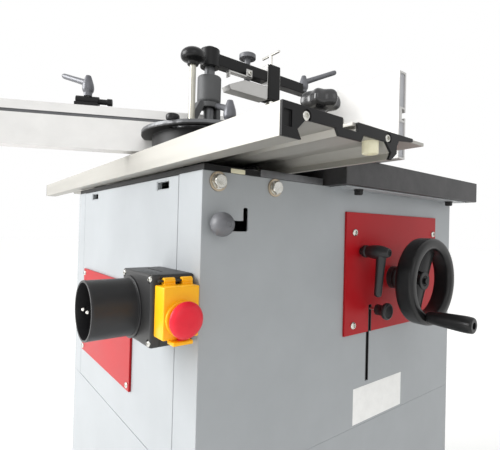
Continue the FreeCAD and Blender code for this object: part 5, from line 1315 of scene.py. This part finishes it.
class MOULDER_OT_controls(bpy.types.Operator):
    """Makes the height lock lever, the spindle lock pin and the ball knob"""

    bl_idname = "moulder.controls"
    bl_label = "Controls"

    def execute(self, context):
        self.height_lock()
        self.lock_pin()
        self.ball()
        return {"FINISHED"}

    def height_lock(self):
        """A moulded lever with a bulged hub, a sunk screw in its nose and an arm that hangs down."""
        place, _ = axis_of("height_lock_turn")
        low, high = box_of("height_lock_lever")
        gap, longer = 0.3, 4
        plate = box_of("control_plate")[0].x + PLATE_SHEET + gap
        foot = Vector((plate, place.y, place.z))
        inside, length = low.x - plate, high.x - plate + longer
        neck, stud, collar, belly = 5, 6, 10.4, 11.5
        nose, seat = length - 1.5, length - 3
        hub = lathe("height_lock_hub", [
            (0, inside), (stud, inside), (stud, neck), (collar, neck, 0.8), (collar, neck + 6, 1),
            (9.4, neck + 7, 1), (9.6, neck + 9, 3), (belly, length * 0.44, 8), (belly, length * 0.68, 8),
            (6.6, nose, 1.5), (4.4, nose, 0.3), (4.2, seat), (0, seat)], foot, RIGHTWARD)
        start = foot + RIGHTWARD * length * 0.7
        tip = Vector((plate + length * 0.6, place.y, low.z))
        stations = [(start.lerp(tip, share), half_width, half_height) for share, half_width, half_height in (
            (0.0, 9.4, 9), (0.13, 8.4, 8), (0.3, 7.6, 7.2), (0.65, 6.8, 6.4), (0.9, 6.5, 6.1),
            (0.955, 6.1, 5.8), (0.985, 4.9, 4.6), (0.998, 3.2, 3.0))]
        arm = sweep("height_lock_arm", stations, -FORWARD)
        lever = joined("height_lock_lever_finished", hub, arm)
        stand_in(lever, "black_moulded_plastic", "height_lock_lever")
        places = [(foot + RIGHTWARD * seat, RIGHTWARD)]
        screw = button_screw(radius=3.8, height=2.2)
        fasteners("height_lock_screw", screw, places, "black_painted_steel", "height_lock_lever")

    def lock_pin(self):
        """The pointed pin of the spindle lock and the waisted knob that pulls it."""
        low, high = box_of("spindle_lock_pin")
        middle = (low + high) / 2
        radius = (high.z - low.z) / 2
        knob_length, longer = 22, 2
        start = high.x - knob_length - low.x
        length = high.x - low.x + longer
        place = (low.x, middle.y, middle.z)
        point, rod, collar, gap = 1.4, 2.4, 6.6, 0.4
        pin = lathe("spindle_lock_pin_finished", [
            (0, 0), (point, 0), (rod, 1.2), (rod, start - 0.1), (collar, start, 0.4), (collar, start + 1),
            (0, start + 1)], place, RIGHTWARD, 48)
        stand_in(pin, "zinc_plated_steel", "spindle_lock_pin")
        knob = lathe("pull_knob", [
            (rod + 0.1, start + gap), (9, start + gap, 0.8), (8.8, start + 9, 4), (9.6, start + 14, 3),
            (radius, start + 17.5, 1), (radius, length - 1.2, 1.4), (radius * 0.8, length, 0.8),
            (radius * 0.66, length - 0.7, 1), (0, length - 0.9)], place, RIGHTWARD)
        settle(knob, "black_moulded_plastic", "spindle_lock_pin")

    def ball(self):
        """The ball knob on a stem through its slot, with a disc behind the sheet and a dimple in front."""
        low, high = box_of("ball_knob")
        middle = (low + high) / 2
        radius = (high.z - low.z) / 2
        face = box_of("cabinet_shell")[1].x - low.x
        disc, disc_sheet, stem, dimple = 12, 4, 4.5, 2.8
        towards_sheet = 6
        centre = high.x - radius - low.x - towards_sheet
        dimple_floor = centre + radius * 0.94
        outline = [
            (0, 0), (disc, 0, 0.5), (disc, disc_sheet, 0.5), (stem, disc_sheet), (stem, face + 1.5),
            (7.5, face + 2, 0.5), (7.2, centre - radius * 0.9, 0.8)]
        steps = 17
        for step in range(2, steps - 1):
            angle = math.pi * step / steps
            outline.append((radius * math.sin(angle), centre - radius * math.cos(angle)))
        outline += [(dimple + 0.4, centre + radius * 0.975), (dimple, dimple_floor), (0, dimple_floor)]
        knob = lathe("ball_knob_finished", outline, (low.x, middle.y, middle.z), RIGHTWARD)
        stand_in(knob, "dark_grey_plastic", "ball_knob")


class MOULDER_OT_fence(bpy.types.Operator):
    """Makes the fence hood, its boards and clamps"""

    bl_idname = "moulder.fence"
    bl_label = "Fence"

    def execute(self, context):
        soft_copy("fence_body", "black_painted_steel", edge=1)
        for node in ("fence_board_left", "fence_board_right"):
            soft_copy(node, "milled_aluminium", size_of("extrusion_edge"))
            self.plugs(node)
        clamping_lever("fence_clamp_left", "fence_lock_left_turn")
        clamping_lever("fence_clamp_right", "fence_lock_right_turn")
        return {"FINISHED"}

    def plugs(self, node):
        """Grey plugs just inside the outer ends of a board's two hollows."""
        low, high = box_of(node)
        outer, way = (high.x, -1) if high.x > 0 else (low.x, 1)
        sink, length, wall, slot_low, slot_high = 2, 8, 2, 57.5, 78.5
        start, end = outer + way * sink, outer + way * (sink + length)
        hollows = ((low.z + wall, low.z + slot_low), (low.z + slot_high, high.z - wall))
        blocks = [
            soft_block("board_plug", (start, low.y + wall, bottom), (end, high.y - wall, top), edge=0.3)
            for bottom, top in hollows]
        settle(joined(f"{node}_plugs", *blocks), "light_grey_plastic", node)


class MOULDER_OT_works(bpy.types.Operator):
    """Gives the spindle, the lift and the drive inside their metals"""

    bl_idname = "moulder.works"
    bl_label = "Works"

    def execute(self, context):
        soft_copy("motor", "blue_grey_enamel", edge=0.8)
        dress("rough_cast_iron", "carriage", "lift_bracket", "spindle_housing")
        dress("ground_steel", "guide_columns", "lead_screw", "spindle", "spindle_bearings")
        soft_copy("spacer_rings", "ground_steel", edge=0.4)
        soft_copy("spindle_nut", "zinc_plated_steel", edge=0.7)
        dress("turned_aluminium", "spindle_pulley", "motor_pulley")
        dress("belt_rubber", "drive_belt")
        return {"FINISHED"}


# Stage

FLOOR_SIZE = 40000
FLOOR_GRAIN = 16.7
KEY_PLACE, KEY_TARGET, KEY_SIZE = Vector((-1200, -3200, 1900)), Vector((0, -300, 650)), 2200
FILL_PLACE, FILL_TARGET, FILL_SIZE = Vector((2600, -1200, 1900)), Vector((300, 0, 700)), 1600
CAMERA_PLACE = Vector((680.77, -557, 749.21))
CAMERA_TURNS = (("Z", 52.073), ("X", 0.607), ("Y", -1.459))
CAMERA_LENS = 27.9
CAMERA_SENSOR = 36


class MOULDER_OT_stage(bpy.types.Operator):
    """Makes the floor, the light and the camera"""

    bl_idname = "moulder.stage"
    bl_label = "Stage"

    def execute(self, context):
        context.scene.view_settings.view_transform = "Standard"
        self.floor()
        self.sky()
        self.area_light("key_light", KEY_PLACE, KEY_TARGET, KEY_SIZE, settings().key_energy)
        self.area_light("fill_light", FILL_PLACE, FILL_TARGET, FILL_SIZE, settings().fill_energy)
        self.camera()
        return {"FINISHED"}

    def floor(self):
        """A pale floor that glows a little where it is seen, so that it meets the white sky."""
        pale = finish("studio_floor", "f0f0ee", "f6f6f4", 0.7, patch=500, relief=0.02, grain=FLOOR_GRAIN)
        tree = pale.node_tree
        glow = self.shown(tree, 0.0, settings().floor_glow)
        shader = tree.nodes["Principled BSDF"]
        feed(tree, shader, {"Emission Color": colour("ffffff"), "Emission Strength": glow})
        bpy.ops.mesh.primitive_plane_add(size=FLOOR_SIZE * MM, location=(0, 0, 0))
        floor = bpy.context.active_object
        floor.name = "studio_floor"
        floor.data.materials.append(pale)

    def sky(self):
        """A white sky to the eye and in reflections, which lights the object at its own level."""
        world = bpy.data.worlds.new("white_studio")
        world.use_nodes = True
        tree = world.node_tree
        strength = self.shown(tree, settings().sky, 1.0)
        feed(tree, tree.nodes["Background"], {"Color": colour("ffffff"), "Strength": strength})
        bpy.context.scene.world = world

    def shown(self, tree, plain, bright):
        """A socket that is bright for what the camera, glossy metal and glass see, and plain otherwise."""
        rays = add_node(tree, "ShaderNodeLightPath").outputs
        seen = rays["Is Camera Ray"]
        for kind in ("Is Glossy Ray", "Is Transmission Ray"):
            either = add_node(tree, "ShaderNodeMath", {0: seen, 1: rays[kind]}, operation="MAXIMUM")
            seen = either.outputs["Value"]
        shade = add_node(tree, "ShaderNodeMapRange", {"Value": seen, "To Min": plain, "To Max": bright})
        return shade.outputs["Result"]

    def area_light(self, name, place, target, size, energy):
        """A square lamp that faces its target."""
        light = bpy.data.lights.new(name, "AREA")
        light.size = size * MM
        light.energy = energy
        lamp = add_object(name, light)
        lamp.location = place * MM
        lamp.rotation_euler = (target - place).to_track_quat("-Z", "Y").to_euler()

    def camera(self):
        """The photograph's view: turns about Z, X and Y in degrees, from a look along +Y."""
        lens = bpy.data.cameras.new("photo_camera")
        lens.sensor_width = CAMERA_SENSOR
        lens.lens = CAMERA_LENS
        lens.clip_start = 20 * MM
        lens.dof.use_dof = False
        turn = Matrix.Identity(3)
        for axis, angle in CAMERA_TURNS:
            turn = turn @ Matrix.Rotation(math.radians(angle), 3, axis)
        rightward, forward, upward = turn.col
        facing = Matrix((rightward, upward, -forward)).transposed().to_4x4()
        camera = add_object("photo_camera", lens)
        camera.matrix_world = Matrix.Translation(CAMERA_PLACE * MM) @ facing
        bpy.context.scene.camera = camera


OPERATORS = (
    MOULDER_OT_materials,
    MOULDER_OT_cabinet,
    MOULDER_OT_bolts,
    MOULDER_OT_tables,
    MOULDER_OT_star_knob,
    MOULDER_OT_mitre,
    MOULDER_OT_clamp,
    MOULDER_OT_switch,
    MOULDER_OT_handwheel,
    MOULDER_OT_controls,
    MOULDER_OT_fence,
    MOULDER_OT_works,
    MOULDER_OT_stage,
)


class MOULDER_PT_look(bpy.types.Panel):
    """Buttons and values of the look"""

    bl_idname = "MOULDER_PT_look"
    bl_label = "Spindle moulder"
    bl_space_type = "VIEW_3D"
    bl_region_type = "UI"
    bl_category = "Moulder"

    def draw(self, context):
        for key, group in GROUPS.items():
            for name in group.__annotations__:
                self.layout.prop(getattr(context.scene, key), name)
        for operator in OPERATORS:
            self.layout.operator(operator.bl_idname)


def register():
    """Registers the settings, the operators and the panel."""
    for key, group in GROUPS.items():
        bpy.utils.register_class(group)
        setattr(bpy.types.Scene, key, PointerProperty(type=group))
    for cls in (*OPERATORS, MOULDER_PT_look):
        bpy.utils.register_class(cls)


def unregister():
    """Takes the classes away again."""
    for cls in (MOULDER_PT_look, *reversed(OPERATORS)):
        bpy.utils.unregister_class(cls)
    for key, group in GROUPS.items():
        delattr(bpy.types.Scene, key)
        bpy.utils.unregister_class(group)


def visual_box():
    """The box round every mesh in view that belongs to the object."""
    corners = []
    for obj in bpy.context.scene.objects:
        if obj.type == "MESH" and "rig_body" in obj and not obj.hide_render:
            corners += [obj.matrix_world @ Vector(corner) for corner in obj.bound_box]
    low = [min(corner[axis] for corner in corners) for axis in range(3)]
    high = [max(corner[axis] for corner in corners) for axis in range(3)]
    return low, high


def main():
    """Makes every piece and the stage."""
    register()
    for operator in OPERATORS:
        group, name = operator.bl_idname.split(".")
        getattr(getattr(bpy.ops, group), name)()
    bpy.context.view_layer.update()
    low, high = visual_box()


if __name__ == "__main__":
    main()
